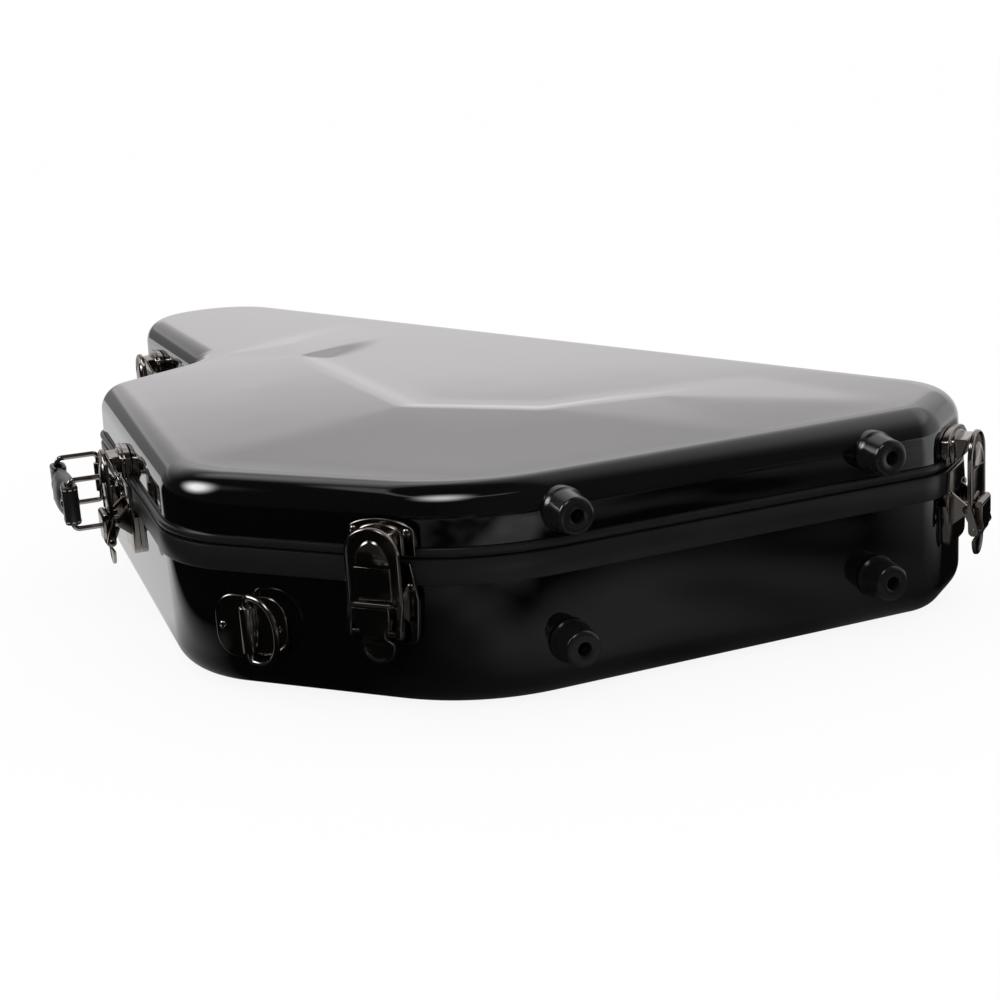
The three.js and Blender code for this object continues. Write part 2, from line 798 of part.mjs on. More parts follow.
const latchPlaces = {
  front: ['shoulder', 'front', latchFrontShare],
  side: ['lobe', 'shoulder', latchSideShare],
  tail: ['tailFront', 'notch', latchTailShare],
  end: ['rightNear', 'rightFar', latchRightShare],
};
Object.entries(latchPlaces).forEach(([name, [from, to, alongShare]]) => {
  const matrix = panelMatrix(from, to, alongShare);
  addOnPanel(`latch_${name}_base_plate`, latchBasePlate(), 'hardware', matrix);
  addOnPanel(`latch_${name}_keeper`, latchKeeper(), 'hardware', matrix);
  addOnPanel(`latch_${name}_lever`, latchLever(), 'hardware', matrix);
  addOnPanel(`latch_${name}_strap`, latchStrap(), 'hardware', matrix);
});

// Hinges
function knuckle(length, middle) {
  return new THREE.CylinderGeometry(hingeKnuckleRadius, hingeKnuckleRadius, length, hingeSides)
    .rotateZ(Math.PI / 2)
    .translate(middle, 0, hingeAxisStand);
}

const hingeThird = hingeLength / 3;
const hingeBore = pin(hingePinRadius + seatGap, hingeLength + cutOverrun, 0, hingeAxisStand, hingeSides);

function hingeLeaf(profile, knuckles) {
  const webs = knuckles.map(({ length, middle, way }) => block(
    length,
    hingeWebReach,
    hingeLeafThickness,
    middle,
    way * hingeWebReach / 2,
    seatGap,
  ));
  const rolls = knuckles.map(({ length, middle }) => knuckle(length, middle));
  return cut(join(bar(profile, hingeLength), ...webs, ...rolls), hingeBore);
}

function hingeBaseLeaf() {
  const front = seatGap + hingeLeafThickness;
  const profile = baseBackProfile(hingeWebReach - cutOverrun, hingeLeafHeight, front);
  const length = hingeThird - knuckleGap;
  const middle = hingeThird + knuckleGap / 2;
  return hingeLeaf(profile, [-1, 1].map((side) => ({ length, middle: side * middle, way: -1 })));
}

function hingeLidLeaf() {
  const front = seatGap + hingeLeafThickness;
  const profile = lidBackProfile(hingeWebReach - cutOverrun, hingeLeafHeight, front);
  return hingeLeaf(profile, [{ length: hingeThird - knuckleGap, middle: 0, way: 1 }]);
}

hingeShares.forEach((alongShare, index) => {
  const matrix = panelMatrix('rightFar', 'tailBack', alongShare);
  const name = `hinge_${index + 1}`;
  addOnPanel(`${name}_base_leaf`, hingeBaseLeaf(), 'hardware', matrix);
  addOnPanel(`${name}_lid_leaf`, hingeLidLeaf(), 'hardware', matrix);
  const hingePin = pin(hingePinRadius, hingeLength, 0, hingeAxisStand, hingeSides);
  addOnPanel(`${name}_pin`, hingePin, 'hardware', matrix);
});

// Feet
function footGeometry() {
  const profile = [
    [0, -footRoot],
    [footBase / 2, -footRoot],
    [footBase / 2, footEdge],
    [footTip / 2 + footEdge / 2, footHeight - footEdge],
    [footTip / 2 - footEdge / 2, footHeight],
    [footBore / 2, footHeight],
    [footBore / 2, footHeight - footBoreDepth],
    [0, footHeight - footBoreDepth],
  ];
  const points = profile.map(([x, y]) => new THREE.Vector2(x, y));
  return new THREE.LatheGeometry(points, footSides).rotateX(Math.PI / 2);
}

function footScrewGeometry() {
  return new THREE.CylinderGeometry(footScrewHead / 2, footScrewHead / 2, footScrewHeight, pinSides)
    .rotateX(Math.PI / 2)
    .translate(0, 0, footHeight - footBoreDepth + seatGap + footScrewHeight / 2);
}

[['inner', footShares[0]], ['outer', footShares[1]]].forEach(([side, alongShare]) => {
  const panel = panelMatrix('front', 'rightNear', alongShare);
  [['base', -footDrop], ['lid', footRise]].forEach(([row, height]) => {
    const seat = wallSeat(panel, height);
    addMesh(`foot_${row}_${side}`, cut(footGeometry().applyMatrix4(seat), outerFaces), 'foot');
    addOnPanel(`foot_screw_${row}_${side}`, footScrewGeometry(), 'hardware', seat);
  });
});

// Wire loops
function wireLoop(points, radius) {
  const count = points.length;
  const rings = points.map((point, index) => {
    const before = points[(index + count - 1) % count];
    const after = points[(index + 1) % count];
    const into = point.clone().sub(before).normalize();
    const out = after.clone().sub(point).normalize();
    const way = into.clone().add(out).normalize();
    const inPlane = way.clone().cross(new THREE.Vector3(1, 0, 0));
    const stretch = radius / way.dot(out);
    return Array.from({ length: wireSides }, (_, step) => {
      const angle = Math.PI * 2 * (step / wireSides);
      return point.clone()
        .addScaledVector(inPlane, stretch * Math.cos(angle))
        .add(new THREE.Vector3(-radius * Math.sin(angle), 0, 0));
    });
  });
  return loft(rings, true);
}

// A half-round loop whose straight bar lies on the local Y axis.
function ringLoop(height, reach, wire, cornerShare) {
  const radius = wire / 2;
  const half = height / 2;
  const bend = Math.min(half, reach) * cornerShare;
  const points = [new THREE.Vector3(0, -half + wire, 0), new THREE.Vector3(0, half - wire, 0)];
  const corners = [
    [wire, half - wire, wire, Math.PI, Math.PI / 2],
    [reach - bend, half - bend, bend, Math.PI / 2, 0],
    [reach - bend, -half + bend, bend, 0, -Math.PI / 2],
    [wire, -half + wire, wire, -Math.PI / 2, -Math.PI],
  ];
  const bends = corners.flatMap(([stand, rise, size, from, to]) => (
    Array.from({ length: arcSteps + 1 }, (_, step) => {
      const angle = THREE.MathUtils.lerp(from, to, step / arcSteps);
      return new THREE.Vector3(0, rise + size * Math.sin(angle), stand + size * Math.cos(angle));
    })
  ));
  const path = [...points, ...bends].filter((point, index, all) => (
    index === 0 || point.distanceTo(all[index - 1]) > radius * leastStepShare
  ));
  return wireLoop(path.filter((point, index) => (
    index === 0 || point.distanceTo(path[0]) > radius * leastStepShare
  )), radius);
}

// A plate with a barrel for a loop's bar, its front face at the given stand.
function loopPlate(face, front, { lugWidth, lugHeight, middle, axisStand, bore, screws }) {
  const barrel = post(lugWidth / 2, lugHeight, 0, middle, axisStand, wireSides * 2);
  const root = block(lugWidth, lugHeight, axisStand - front / 2, 0, middle, front / 2);
  const heads = screws.map(([x, y]) => screwHead(x, y, front - screwHeight / 2));
  const hole = post(bore / 2, lugHeight + cutOverrun, 0, middle, axisStand);
  return cut(join(face, barrel, root, ...heads), hole);
}

// Rings for a carrying strap
const ringPlaces = {
  front: ['shoulder', 'front', ringFrontShare],
  tail: ['tailFront', 'notch', ringTailShare],
};
Object.entries(ringPlaces).forEach(([name, [from, to, alongShare]]) => {
  const seat = wallSeat(panelMatrix(from, to, alongShare), -ringPlateDrop);
  const shape = roundedRectangle(ringPlateWidth, ringPlateHeight, ringPlateCorner, 0);
  const face = plate(shape, 0, ringPlateThickness);
  addOnPanel(`strap_ring_plate_${name}`, loopPlate(face, ringPlateThickness, {
    lugWidth: ringLugWidth,
    lugHeight: ringHeight - ringWire * 3,
    middle: 0,
    axisStand: ringAxisStand,
    bore: ringWire + seatGap * 2,
    screws: [[-ringScrewReach, 0], [ringScrewReach, 0]],
  }), 'hardware', seat);
  const turned = seat.clone()
    .multiply(new THREE.Matrix4().makeTranslation(0, 0, ringAxisStand))
    .multiply(new THREE.Matrix4().makeRotationY(THREE.MathUtils.degToRad(ringRestTurn)));
  const ring = ringLoop(ringHeight, ringReach, ringWire, ringBendShare);
  addOnPanel(`strap_ring_${name}`, ring, 'hardware', turned);
});

// Handle
const handleShift = -(latchWidth / 2 + handleLatchGap + handlePlateWidth / 2 + handleSpan / 2);
const handlePanel = panelMatrix('lobe', 'shoulder', latchSideShare, handleShift);
const handleFront = seatGap + handlePlateThickness;
const handleSeat = handlePanel.clone()
  .multiply(new THREE.Matrix4().makeTranslation(0, -handleDrop, handleAxisStand));

function handleBracket() {
  const top = handleDrop - handlePlateHeight / 2;
  const bottom = handleDrop + handlePlateHeight / 2;
  const corner = handlePlateWidth * handleCornerShare;
  const shape = roundedRectangle(handlePlateWidth, handlePlateHeight, corner, -handleDrop);
  const face = intersectAll(
    bar(baseBackProfile(top, bottom, handleFront), handlePlateWidth),
    plate(shape, -baseWallInset, baseWallInset + handleFront + cutOverrun),
  );
  const screwY = handlePlateHeight / 2 - screwRadius * handleScrewShare;
  return loopPlate(face, handleFront, {
    lugWidth: handleLugReach,
    lugHeight: handleLugHeight,
    middle: -handleDrop,
    axisStand: handleAxisStand,
    bore: handleWire + seatGap * 2,
    screws: [[0, -handleDrop - screwY], [0, -handleDrop + screwY]],
  });
}

[['lobe', -1], ['latch', 1]].forEach(([name, side]) => {
  const shift = new THREE.Matrix4().makeTranslation(side * handleSpan / 2, 0, 0);
  addOnPanel(`handle_bracket_${name}`, handleBracket(), 'hardware', handlePanel.clone().multiply(shift));
  addOnPanel(
    `handle_ring_${name}`,
    ringLoop(handleRingHeight, handleRingReach, handleWire, handleBendShare),
    'hardware',
    handleSeat.clone().multiply(shift),
  );
});

// The grip seen from above: a padded middle and an eye round each ring's outer bar.
function gripGeometry() {
  const half = handleSpan / 2;
  const eye = handleWire / 2 + handleEyeClear + handleLoopThickness;
  const outline = new THREE.Shape();
  outline.moveTo(-half, -eye);
  outline.splineThru([
    new THREE.Vector2(-half + eye * 2, -handleLoopThickness),
    new THREE.Vector2(-half + eye * 4, -handleGripThickness / 2),
    new THREE.Vector2(0, -handleGripThickness / 2),
    new THREE.Vector2(half - eye * 4, -handleGripThickness / 2),
    new THREE.Vector2(half - eye * 2, -handleLoopThickness),
    new THREE.Vector2(half, -eye),
  ]);
  outline.absarc(half, 0, eye, -Math.PI / 2, Math.PI / 2);
  outline.splineThru([
    new THREE.Vector2(half - eye * 2, handleLoopThickness),
    new THREE.Vector2(half - eye * 4, handleGripThickness / 2),
    new THREE.Vector2(0, handleGripThickness / 2),
    new THREE.Vector2(-half + eye * 4, handleGripThickness / 2),
    new THREE.Vector2(-half + eye * 2, handleLoopThickness),
    new THREE.Vector2(-half, eye),
  ]);
  outline.absarc(-half, 0, eye, Math.PI / 2, Math.PI * 1.5);
  outline.holes = [-half, half].map((x) => {
    const hole = new THREE.Path();
    hole.absarc(x, 0, handleWire / 2 + handleEyeClear, 0, Math.PI * 2, true);
    return hole;
  });
  return extruded(outline, handleStrapHeight)
    .translate(0, 0, -handleStrapHeight / 2)
    .rotateX(-Math.PI / 2);
}
addOnPanel('handle_grip', gripGeometry(), 'leather', handleSeat.clone()
  .multiply(new THREE.Matrix4().makeTranslation(0, 0, handleRingReach)));

// Neck cradle on the base lining
const liningTopLevel = shellWall + liningClear + liningFloor;
const cradle = new THREE.Shape();
const cradleHalf = cradleWidth / 2;
cradle.moveTo(-cradleHalf, 0);
cradle.lineTo(cradleHalf, 0);
cradle.lineTo(cradleHalf, cradleHeight);
cradle.lineTo(cradleSlot / 2, cradleHeight);
cradle.lineTo(cradleSlot / 2, cradleHeight - cradleSlotDepth + cradleSlot * cradleSlotShare);
cradle.absellipse(
  0,
  cradleHeight - cradleSlotDepth + cradleSlot * cradleSlotShare,
  cradleSlot / 2,
  cradleSlot * cradleSlotShare,
  0,
  -Math.PI,
  true,
  0,
);
cradle.lineTo(-cradleSlot / 2, cradleHeight);
cradle.lineTo(-cradleHalf, cradleHeight);
cradle.closePath();
const cradleY = caseWidth / 2 - baseLiningInset - liningWall - seatGap - cradleHalf;
const cradleGeometry = extruded(cradle, cradleLength)
  .translate(0, 0, -cradleLength / 2)
  .rotateX(Math.PI / 2)
  .rotateZ(Math.PI / 2);
const cradleMesh = addMesh('neck_cradle', cradleGeometry, 'lining');
cradleMesh.position.set(cradleShare * caseLength, cradleY, liningTopLevel + seatGap);

export default group;
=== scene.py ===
import itertools
import json
from math import atan2, copysign, cos, pi, radians, sin, sqrt, tan
import bpy
import bmesh
import numpy as np
from mathutils import Matrix, Vector
from mathutils.geometry import delaunay_2d_cdt


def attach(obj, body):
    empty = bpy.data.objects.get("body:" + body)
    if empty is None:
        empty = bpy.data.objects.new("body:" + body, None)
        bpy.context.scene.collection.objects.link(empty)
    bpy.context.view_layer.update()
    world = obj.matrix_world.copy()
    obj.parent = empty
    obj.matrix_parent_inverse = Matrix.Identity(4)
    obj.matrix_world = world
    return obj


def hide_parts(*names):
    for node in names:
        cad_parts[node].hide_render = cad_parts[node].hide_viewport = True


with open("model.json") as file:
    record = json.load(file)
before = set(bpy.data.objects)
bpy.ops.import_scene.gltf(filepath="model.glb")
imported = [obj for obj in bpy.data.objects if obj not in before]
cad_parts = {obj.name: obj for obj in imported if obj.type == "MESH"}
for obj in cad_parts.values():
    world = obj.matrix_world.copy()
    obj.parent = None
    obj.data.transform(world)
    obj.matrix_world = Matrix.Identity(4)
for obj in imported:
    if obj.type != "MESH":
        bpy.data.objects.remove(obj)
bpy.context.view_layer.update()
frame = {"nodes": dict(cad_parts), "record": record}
print("frame loaded")

scene = bpy.context.scene
scene.view_settings.view_transform = "Standard"


# shader helper
class Socket:
    # wraps one output socket, so that shader maths reads as plain expressions
    def __init__(self, tree, socket):
        self.tree = tree
        self.socket = socket

    def maths(self, operation, *others, clamp=False):
        node = self.tree.nodes.new("ShaderNodeMath")
        node.operation = operation
        node.use_clamp = clamp
        for index, value in enumerate((self,) + others):
            plug(self.tree, node.inputs[index], value)
        return Socket(self.tree, node.outputs[0])

    def __add__(self, other):
        return self.maths("ADD", other)

    __radd__ = __add__

    def __mul__(self, other):
        return self.maths("MULTIPLY", other)

    __rmul__ = __mul__

    def __sub__(self, other):
        return self.maths("SUBTRACT", other)

    def __rsub__(self, other):
        return (self * -1.0) + other

    def __truediv__(self, other):
        return self.maths("DIVIDE", other)

    def __pow__(self, other):
        return self.maths("POWER", other)

    def clamped(self):
        return self.maths("ADD", 0.0, clamp=True)

    def between(self, low, high):
        return ((self - low) / (high - low)).clamped()


def plug(tree, target, value):
    if isinstance(value, Socket):
        tree.links.new(value.socket, target)
    elif isinstance(value, (tuple, list)) and len(value) == 3 and target.type == "RGBA":
        target.default_value = (*value, 1.0)
    else:
        target.default_value = value


class Nodes:
    # one node tree, with a method that adds any node
    def __init__(self, tree):
        self.tree = tree

    def node(self, kind, settings=None, output=0, **sockets):
        made = self.tree.nodes.new(kind)
        for key, value in (settings or {}).items():
            if key == "stops":
                ramp = made.color_ramp.elements
                while len(ramp) < len(value):
                    ramp.new(0.5)
                for element, (place, level) in zip(ramp, value):
                    element.position = place
                    element.color = (level, level, level, 1.0)
            else:
                setattr(made, key, value)
        for key, value in sockets.items():
            plug(self.tree, made.inputs[key.replace("_", " ")], value)
        return Socket(self.tree, made.outputs[output])


class Finish(Nodes):
    # one material
    def __init__(self, name):
        self.material = bpy.data.materials.new(name)
        self.material.use_nodes = True
        super().__init__(self.material.node_tree)
        self.shader = self.tree.nodes["Principled BSDF"]

    def places(self):
        return self.node("ShaderNodeTexCoord", output=3)

    def noise(self, scale, detail=3.0, roughness=0.55, vector=None):
        return self.node("ShaderNodeTexNoise", Vector=vector or self.places(), Scale=scale,
                         Detail=detail, Roughness=roughness)

    def mix(self, factor, low, high):
        made = self.tree.nodes.new("ShaderNodeMix")
        made.data_type = "RGBA"
        plug(self.tree, made.inputs[0], factor)
        plug(self.tree, made.inputs[6], low)
        plug(self.tree, made.inputs[7], high)
        return Socket(self.tree, made.outputs[2])

    def bump(self, height, strength, distance):
        return self.node("ShaderNodeBump", Height=height, Strength=strength, Distance=distance)

    def surface(self, **sockets):
        for key, value in sockets.items():
            plug(self.tree, self.shader.inputs[key.replace("_", " ")], value)
        return self.material


# finishes
def shellFinish():
    f = Finish("black moulded shell")
    cloud = f.noise(9.0, 4.0)
    dust = f.noise(900.0, 2.0).between(0.66, 0.74)
    ripple = f.noise(14.0, 1.0)
    return f.surface(
        Base_Color=f.mix(dust * 0.25, (0.0012, 0.0012, 0.0014), (0.03, 0.03, 0.031)),
        Roughness=cloud * 0.03 + 0.035,
        Normal=f.bump(ripple, 0.05, 0.004),
        Coat_Weight=1.0, Coat_Roughness=0.02, Coat_IOR=1.6, IOR=1.5)


def bandFinish():
    f = Finish("satin rim band")
    grain = f.noise(1400.0, 2.0)
    return f.surface(
        Base_Color=f.mix(f.noise(30.0), (0.007, 0.007, 0.0072), (0.012, 0.012, 0.0125)),
        Roughness=grain * 0.1 + 0.26,
        Normal=f.bump(grain, 0.08, 0.0004))


def hardwareFinish():
    f = Finish("black nickel")
    smear = f.noise(60.0, 4.0)
    pits = f.noise(1500.0, 2.0)
    return f.surface(
        Base_Color=f.mix(smear, (0.34, 0.308, 0.282), (0.47, 0.432, 0.4)),
        Metallic=1.0,
        Roughness=smear * 0.06 + 0.05,
        Normal=f.bump(pits, 0.04, 0.0003))


def leatherFinish():
    f = Finish("black leather")
    cells = f.node("ShaderNodeTexVoronoi", {"feature": "DISTANCE_TO_EDGE"}, Vector=f.places(), Scale=700.0)
    grain = cells.between(0.0, 0.16)
    soft = f.noise(70.0, 3.0)
    return f.surface(
        Base_Color=f.mix(soft, (0.005, 0.005, 0.0052), (0.011, 0.0105, 0.0105)),
        Roughness=0.42 - grain * 0.14,
        Coat_Weight=0.4, Coat_Roughness=0.2,
        Normal=f.bump(grain + soft * 0.6, 0.25, 0.0005))


def liningFinish():
    f = Finish("plush lining")
    pile = f.noise(2200.0, 2.0)
    nap = f.noise(22.0, 3.0)
    return f.surface(
        Base_Color=f.mix(nap * 0.6 + pile * 0.4, (0.012, 0.012, 0.014), (0.035, 0.035, 0.04)),
        Roughness=0.95,
        Sheen_Weight=0.5, Sheen_Roughness=0.4,
        Normal=f.bump(pile + nap, 0.5, 0.001))


def plainFinish(name, cloud, low, high, grain, spread, least, **more):
    # a colour that clouds between two tones, and a roughness with a fine grain
    f = Finish(name)
    return f.surface(
        Base_Color=f.mix(f.noise(cloud), low, high), Roughness=f.noise(grain) * spread + least, **more)


finishes = {
    "shell": shellFinish(), "rim_band": bandFinish(), "hardware": hardwareFinish(),
    "leather": leatherFinish(), "lining": liningFinish(),
    "foot": plainFinish("glossy foot", 80.0, (0.004, 0.004, 0.004), (0.009, 0.009, 0.009), 240.0, 0.12, 0.14,
                        Coat_Weight=0.5, Coat_Roughness=0.08),
    "seal": plainFinish("rubber seal", 120.0, (0.01, 0.01, 0.01), (0.02, 0.02, 0.02), 500.0, 0.15, 0.65),
    "thread": plainFinish("waxed thread", 900.0, (0.35, 0.34, 0.33), (0.6, 0.59, 0.57), 1500.0, 0.2, 0.5),
}
slots = {part["node"]: part["material_slot"] for part in frame["record"]["subparts"]}
for nodeName, solid in frame["nodes"].items():
    for slot in solid.material_slots:
        slot.material = finishes[slots[nodeName]]
print("finishes made")


# the case's own sizes, in metres
case = {
    "length": 0.875, "width": 0.479, "parting": 0.101, "lidHeight": 0.043, "wall": 0.0036, "lidSkin": 0.0034,
    "bandStand": 0.003, "bandHeight": 0.018, "beadHeight": 0.0044, "partingGap": 0.0012,
    "baseDraft": 0.0006, "lidDraft": 0.0006, "baseEdge": 0.022, "lidEdge": 0.020,
    "cornerSteps": 20, "edgeSteps": 14, "leastRadius": 0.0036, "seatGap": 0.0003,
    "innerEdge": 0.75, "innerSteps": 6,
}
outline = {  # corner places as shares of length and width, radii as shares of the width
    "front": (0.3511, -0.3508, 0.28), "rightNear": (0.5, 0.3117, 0.084), "rightFar": (0.4694, 0.5, 0.13),
    "tailBack": (-0.4959, 0.5, 0.165), "tailFront": (-0.5, 0.2512, 0.13), "notch": (-0.2432, 0.0504, 0.1),
    "lobe": (-0.2284, -0.1832, 0.075), "shoulder": (0.1174, -0.5, 0.198),
}
lidTop = case["parting"] + case["lidHeight"]
lidCeiling = lidTop - case["lidSkin"]
lidRim = case["parting"] + case["partingGap"]
baseRim = case["parting"] - case["partingGap"]
baseWall = case["bandStand"] + case["baseDraft"]
lidWall = case["bandStand"] + case["lidDraft"]
corners = {name: (Vector((x * case["length"], y * case["width"])), radius * case["width"])
           for name, (x, y, radius) in outline.items()}


def ringAt(height, inset):
    # the outline at a height, moved inwards; no corner gets tighter than the least radius
    bends, steps = list(corners.values()), case["cornerSteps"]
    sides = []
    for index, (place, radius) in enumerate(bends):
        way = (bends[(index + 1) % len(bends)][0] - place).normalized()
        sides.append((place - Vector((way.y, -way.x)) * inset, way))
    ring = []
    for index, (place, radius) in enumerate(bends):
        (pointA, wayA), (pointB, wayB) = sides[index - 1], sides[index]
        cross = wayA.x * wayB.y - wayA.y * wayB.x
        gap = pointB - pointA
        tip = pointA + wayA * ((gap.x * wayB.y - gap.y * wayB.x) / cross)
        turn = atan2(cross, wayA.dot(wayB))
        bulge = copysign(1.0, turn)
        size = max(radius - bulge * inset, case["leastRadius"])
        start = tip - wayA * (size * tan(abs(turn) / 2))
        centre = start - Vector((wayA.y, -wayA.x)) * (bulge * size)
        for step in range(steps + 1):
            spoke = start - centre
            spoke.rotate(Matrix.Rotation(turn * step / steps, 2))
            ring.append(Vector((*(centre + spoke), height)))
    return ring


def ringsAt(levels):
    return [ringAt(height, inset) for height, inset in levels]


# mesh helpers
def placed(name, data):
    thing = bpy.data.objects.new(name, data)
    scene.collection.objects.link(thing)
    return thing


def makePiece(name, points, faces, finish, body, node=None, sharp=35.0):
    mesh = bpy.data.meshes.new(name)
    mesh.from_pydata([tuple(p) for p in points], [], faces)
    mesh.validate()
    work = bmesh.new()
    work.from_mesh(mesh)
    bmesh.ops.remove_doubles(work, verts=work.verts, dist=0.00001)
    bmesh.ops.recalc_face_normals(work, faces=work.faces)
    work.to_mesh(mesh)
    work.free()
    mesh.shade_smooth()
    mesh.set_sharp_from_angle(angle=radians(sharp))
    piece = placed(name, mesh)
    mesh.materials.append(finishes[finish])
    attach(piece, body)
    "leather" if finish == "thread" else finish
    if node:
        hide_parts(*([node] if isinstance(node, str) else node))
    return piece


def loftFaces(rings, closed=False, ends=False):
    count = len(rings[0])
    points = [p for ring in rings for p in ring]
    faces = []
    for level in range(len(rings) - (not closed)):
        here, above = level * count, ((level + 1) % len(rings)) * count
        for step in range(count):
            side = (step + 1) % count
            faces.append((here + step, here + side, above + side, above + step))
    if ends:
        faces += [tuple(range(count))[::-1], tuple(range(len(points) - count, len(points)))]
    return points, faces


def roundedEdge(face, direction, wallInset, radius, steps):
    # heights and insets of a quarter round from a flat face to a wall
    turns = [pi / 2 * step / steps for step in range(steps + 1)]
    return [(face + direction * radius * (1 - cos(a)), wallInset + radius * (1 - sin(a)))
            for a in turns]


def innerEdge(face, direction, wallInset, outerRadius):
    return roundedEdge(face, direction, wallInset, outerRadius * case["innerEdge"], case["innerSteps"])


def fillRing(ring, extra=(), heightOf=None):
    # a cap over a ring with more points inside; it is flat where heightOf doesn't lift it
    flat = [Vector((p.x, p.y)) for p in (*ring, *extra)]
    edges = [(i, (i + 1) % len(ring)) for i in range(len(ring))]
    points, _, faces, _, _, _ = delaunay_2d_cdt(flat, edges, [], 1, 1e-7)
    heights = [heightOf(p) if heightOf else ring[0].z for p in points]
    return [Vector((p.x, p.y, z)) for p, z in zip(points, heights)], [tuple(face) for face in faces]


def joinLists(*parts):
    points, faces = [], []
    for partPoints, partFaces in parts:
        start = len(points)
        points += partPoints
        faces += [tuple(index + start for index in face) for face in partFaces]
    return points, faces


# the lid's raised creases: crests with their rises, and the feet of their slopes
crease = {
    "height": 0.004, "grid": 0.003, "meshStep": 0.0042, "rimFade": 0.012,
    "crispBlur": 0.0028, "softBlur": 0.010, "crispReach": 0.035,
    "crests": {
        "neckRoot": (-0.2257, 0.0755, 0.0), "neckRidge": (-0.188, 0.19, 0.85),
        "neckEnd": (-0.197, 0.36, 0.1), "heelEnd": (-0.162, 0.33, 0.1), "heel": (-0.128, 0.119, 1.0),
        "waist": (0.122, -0.061, 1.0), "bend": (0.23, 0.031, 0.75),
        "fade": (0.275, 0.185, 0.4), "tip": (0.322, 0.33, 0.05),
    },
    "feet": {
        "neckRoot": (-0.238, 0.215), "neckEnd": (-0.236, 0.4), "heelEnd": (-0.146, 0.36),
        "heel": (-0.113, 0.155), "waist": (0.1246, -0.017), "bend": (0.216, 0.063), "fade": (0.255, 0.207),
        "tip": (0.305, 0.35), "lobe": (-0.198, -0.135), "shoulder": (0.105, -0.42), "front": (0.322, -0.272),
        "side": (0.4138, 0.082), "end": (0.455, 0.33),
    },
    "ridges": (
        (("neckRoot", "heel", "waist"), ("heel", "waist", "lobe", "shoulder")),
        (("waist", "bend"), ("waist", "bend", "shoulder", "front")),
        (("bend", "fade"), ("bend", "fade", "front", "side")),
        (("fade", "tip"), ("fade", "tip", "side", "end")),
        (("neckRoot", "neckRidge", "neckEnd", "heelEnd", "heel"), ("neckRoot", "neckEnd", "heelEnd", "heel")),
    ),
    "crispLine": ("neckRoot", "neckRidge", "heel", "waist", "bend", "fade"),
}


def lineGap(a, b, xs, ys):
    dx, dy = b.x - a.x, b.y - a.y
    share = np.clip(((xs - a.x) * dx + (ys - a.y) * dy) / max(dx * dx + dy * dy, 1e-14), 0.0, 1.0)
    return np.hypot(xs - a.x - dx * share, ys - a.y - dy * share)


def signedGap(ring, xs, ys):
    # distance to a closed ring for arrays of points, positive inside
    best = np.full(xs.shape, 1e9)
    inside = np.zeros(xs.shape, bool)
    for a, b in zip(ring, ring[1:] + ring[:1]):
        best = np.minimum(best, lineGap(a, b, xs, ys))
        if a.y != b.y:
            inside ^= ((a.y > ys) != (b.y > ys)) & (xs < (b.x - a.x) * (ys - a.y) / (b.y - a.y) + a.x)
    return np.where(inside, best, -best)


def ridgeHeights(xs, ys):
    # the highest of the flat facets that span each ridge's crests and feet
    tops = np.zeros(xs.shape)
    for crests, feet in crease["ridges"]:
        knots = [crease["crests"][name] for name in crests] + [(*crease["feet"][name], 0.0) for name in feet]
        knots = [(x * case["length"], y * case["width"], rise * crease["height"]) for x, y, rise in knots]
        for a, b, c in itertools.combinations(knots, 3):
            area = (b[0] - a[0]) * (c[1] - a[1]) - (c[0] - a[0]) * (b[1] - a[1])
            if abs(area) < 1e-8:
                continue
            u = ((b[0] - xs) * (c[1] - ys) - (c[0] - xs) * (b[1] - ys)) / area
            v = ((c[0] - xs) * (a[1] - ys) - (a[0] - xs) * (c[1] - ys)) / area
            within = (u >= 0) & (v >= 0) & (u + v <= 1)
            tops = np.where(within, np.maximum(tops, u * a[2] + v * b[2] + (1 - u - v) * c[2]), tops)
    return tops


def blurred(heights, spread):
    reach = int(spread * 3 / crease["grid"]) + 1
    kernel = np.exp(-0.5 * (np.arange(-reach, reach + 1) * crease["grid"] / spread) ** 2)
    kernel /= kernel.sum()
    for axis in (0, 1):
        heights = np.apply_along_axis(lambda line: np.convolve(line, kernel, mode="same"), axis, heights)
    return heights


def makeRelief():
    columns = int(case["length"] / crease["grid"]) + 3
    rows = int(case["width"] / crease["grid"]) + 3
    xs, ys = np.meshgrid((np.arange(columns) - (columns - 1) / 2) * crease["grid"],
                         (np.arange(rows) - (rows - 1) / 2) * crease["grid"])
    raw = ridgeHeights(xs, ys)
    line = [crease["crests"][name] for name in crease["crispLine"]]
    line = [Vector((x * case["length"], y * case["width"])) for x, y, rise in line]
    gap = np.full(xs.shape, 1e9)
    for a, b in zip(line, line[1:]):
        gap = np.minimum(gap, lineGap(a, b, xs, ys))
    crisp = np.exp(-(gap / crease["crispReach"]) ** 2)
    heights = blurred(raw, crease["crispBlur"]) * crisp + blurred(raw, crease["softBlur"]) * (1 - crisp)
    gap = signedGap(ringAt(lidTop, lidWall + case["lidEdge"]), xs, ys)
    return heights * np.clip(gap / crease["rimFade"], 0.0, 1.0)


relief = makeRelief()


def lidHeightAt(p):
    # bilinear reading of the relief grid
    rows, columns = relief.shape
    x = min(max(p.x / crease["grid"] + (columns - 1) / 2, 0), columns - 1.001)
    y = min(max(p.y / crease["grid"] + (rows - 1) / 2, 0), rows - 1.001)
    i, j = int(x), int(y)
    u, v = x - i, y - j
    low = relief[j, i] * (1 - u) + relief[j, i + 1] * u
    high = relief[j + 1, i] * (1 - u) + relief[j + 1, i + 1] * u
    return lidTop + float(low * (1 - v) + high * v)


def pointsWithin(ring, xs, ys, margin):
    kept = signedGap(ring, xs, ys) > margin
    return [Vector((float(x), float(y))) for x, y in zip(xs[kept], ys[kept])]


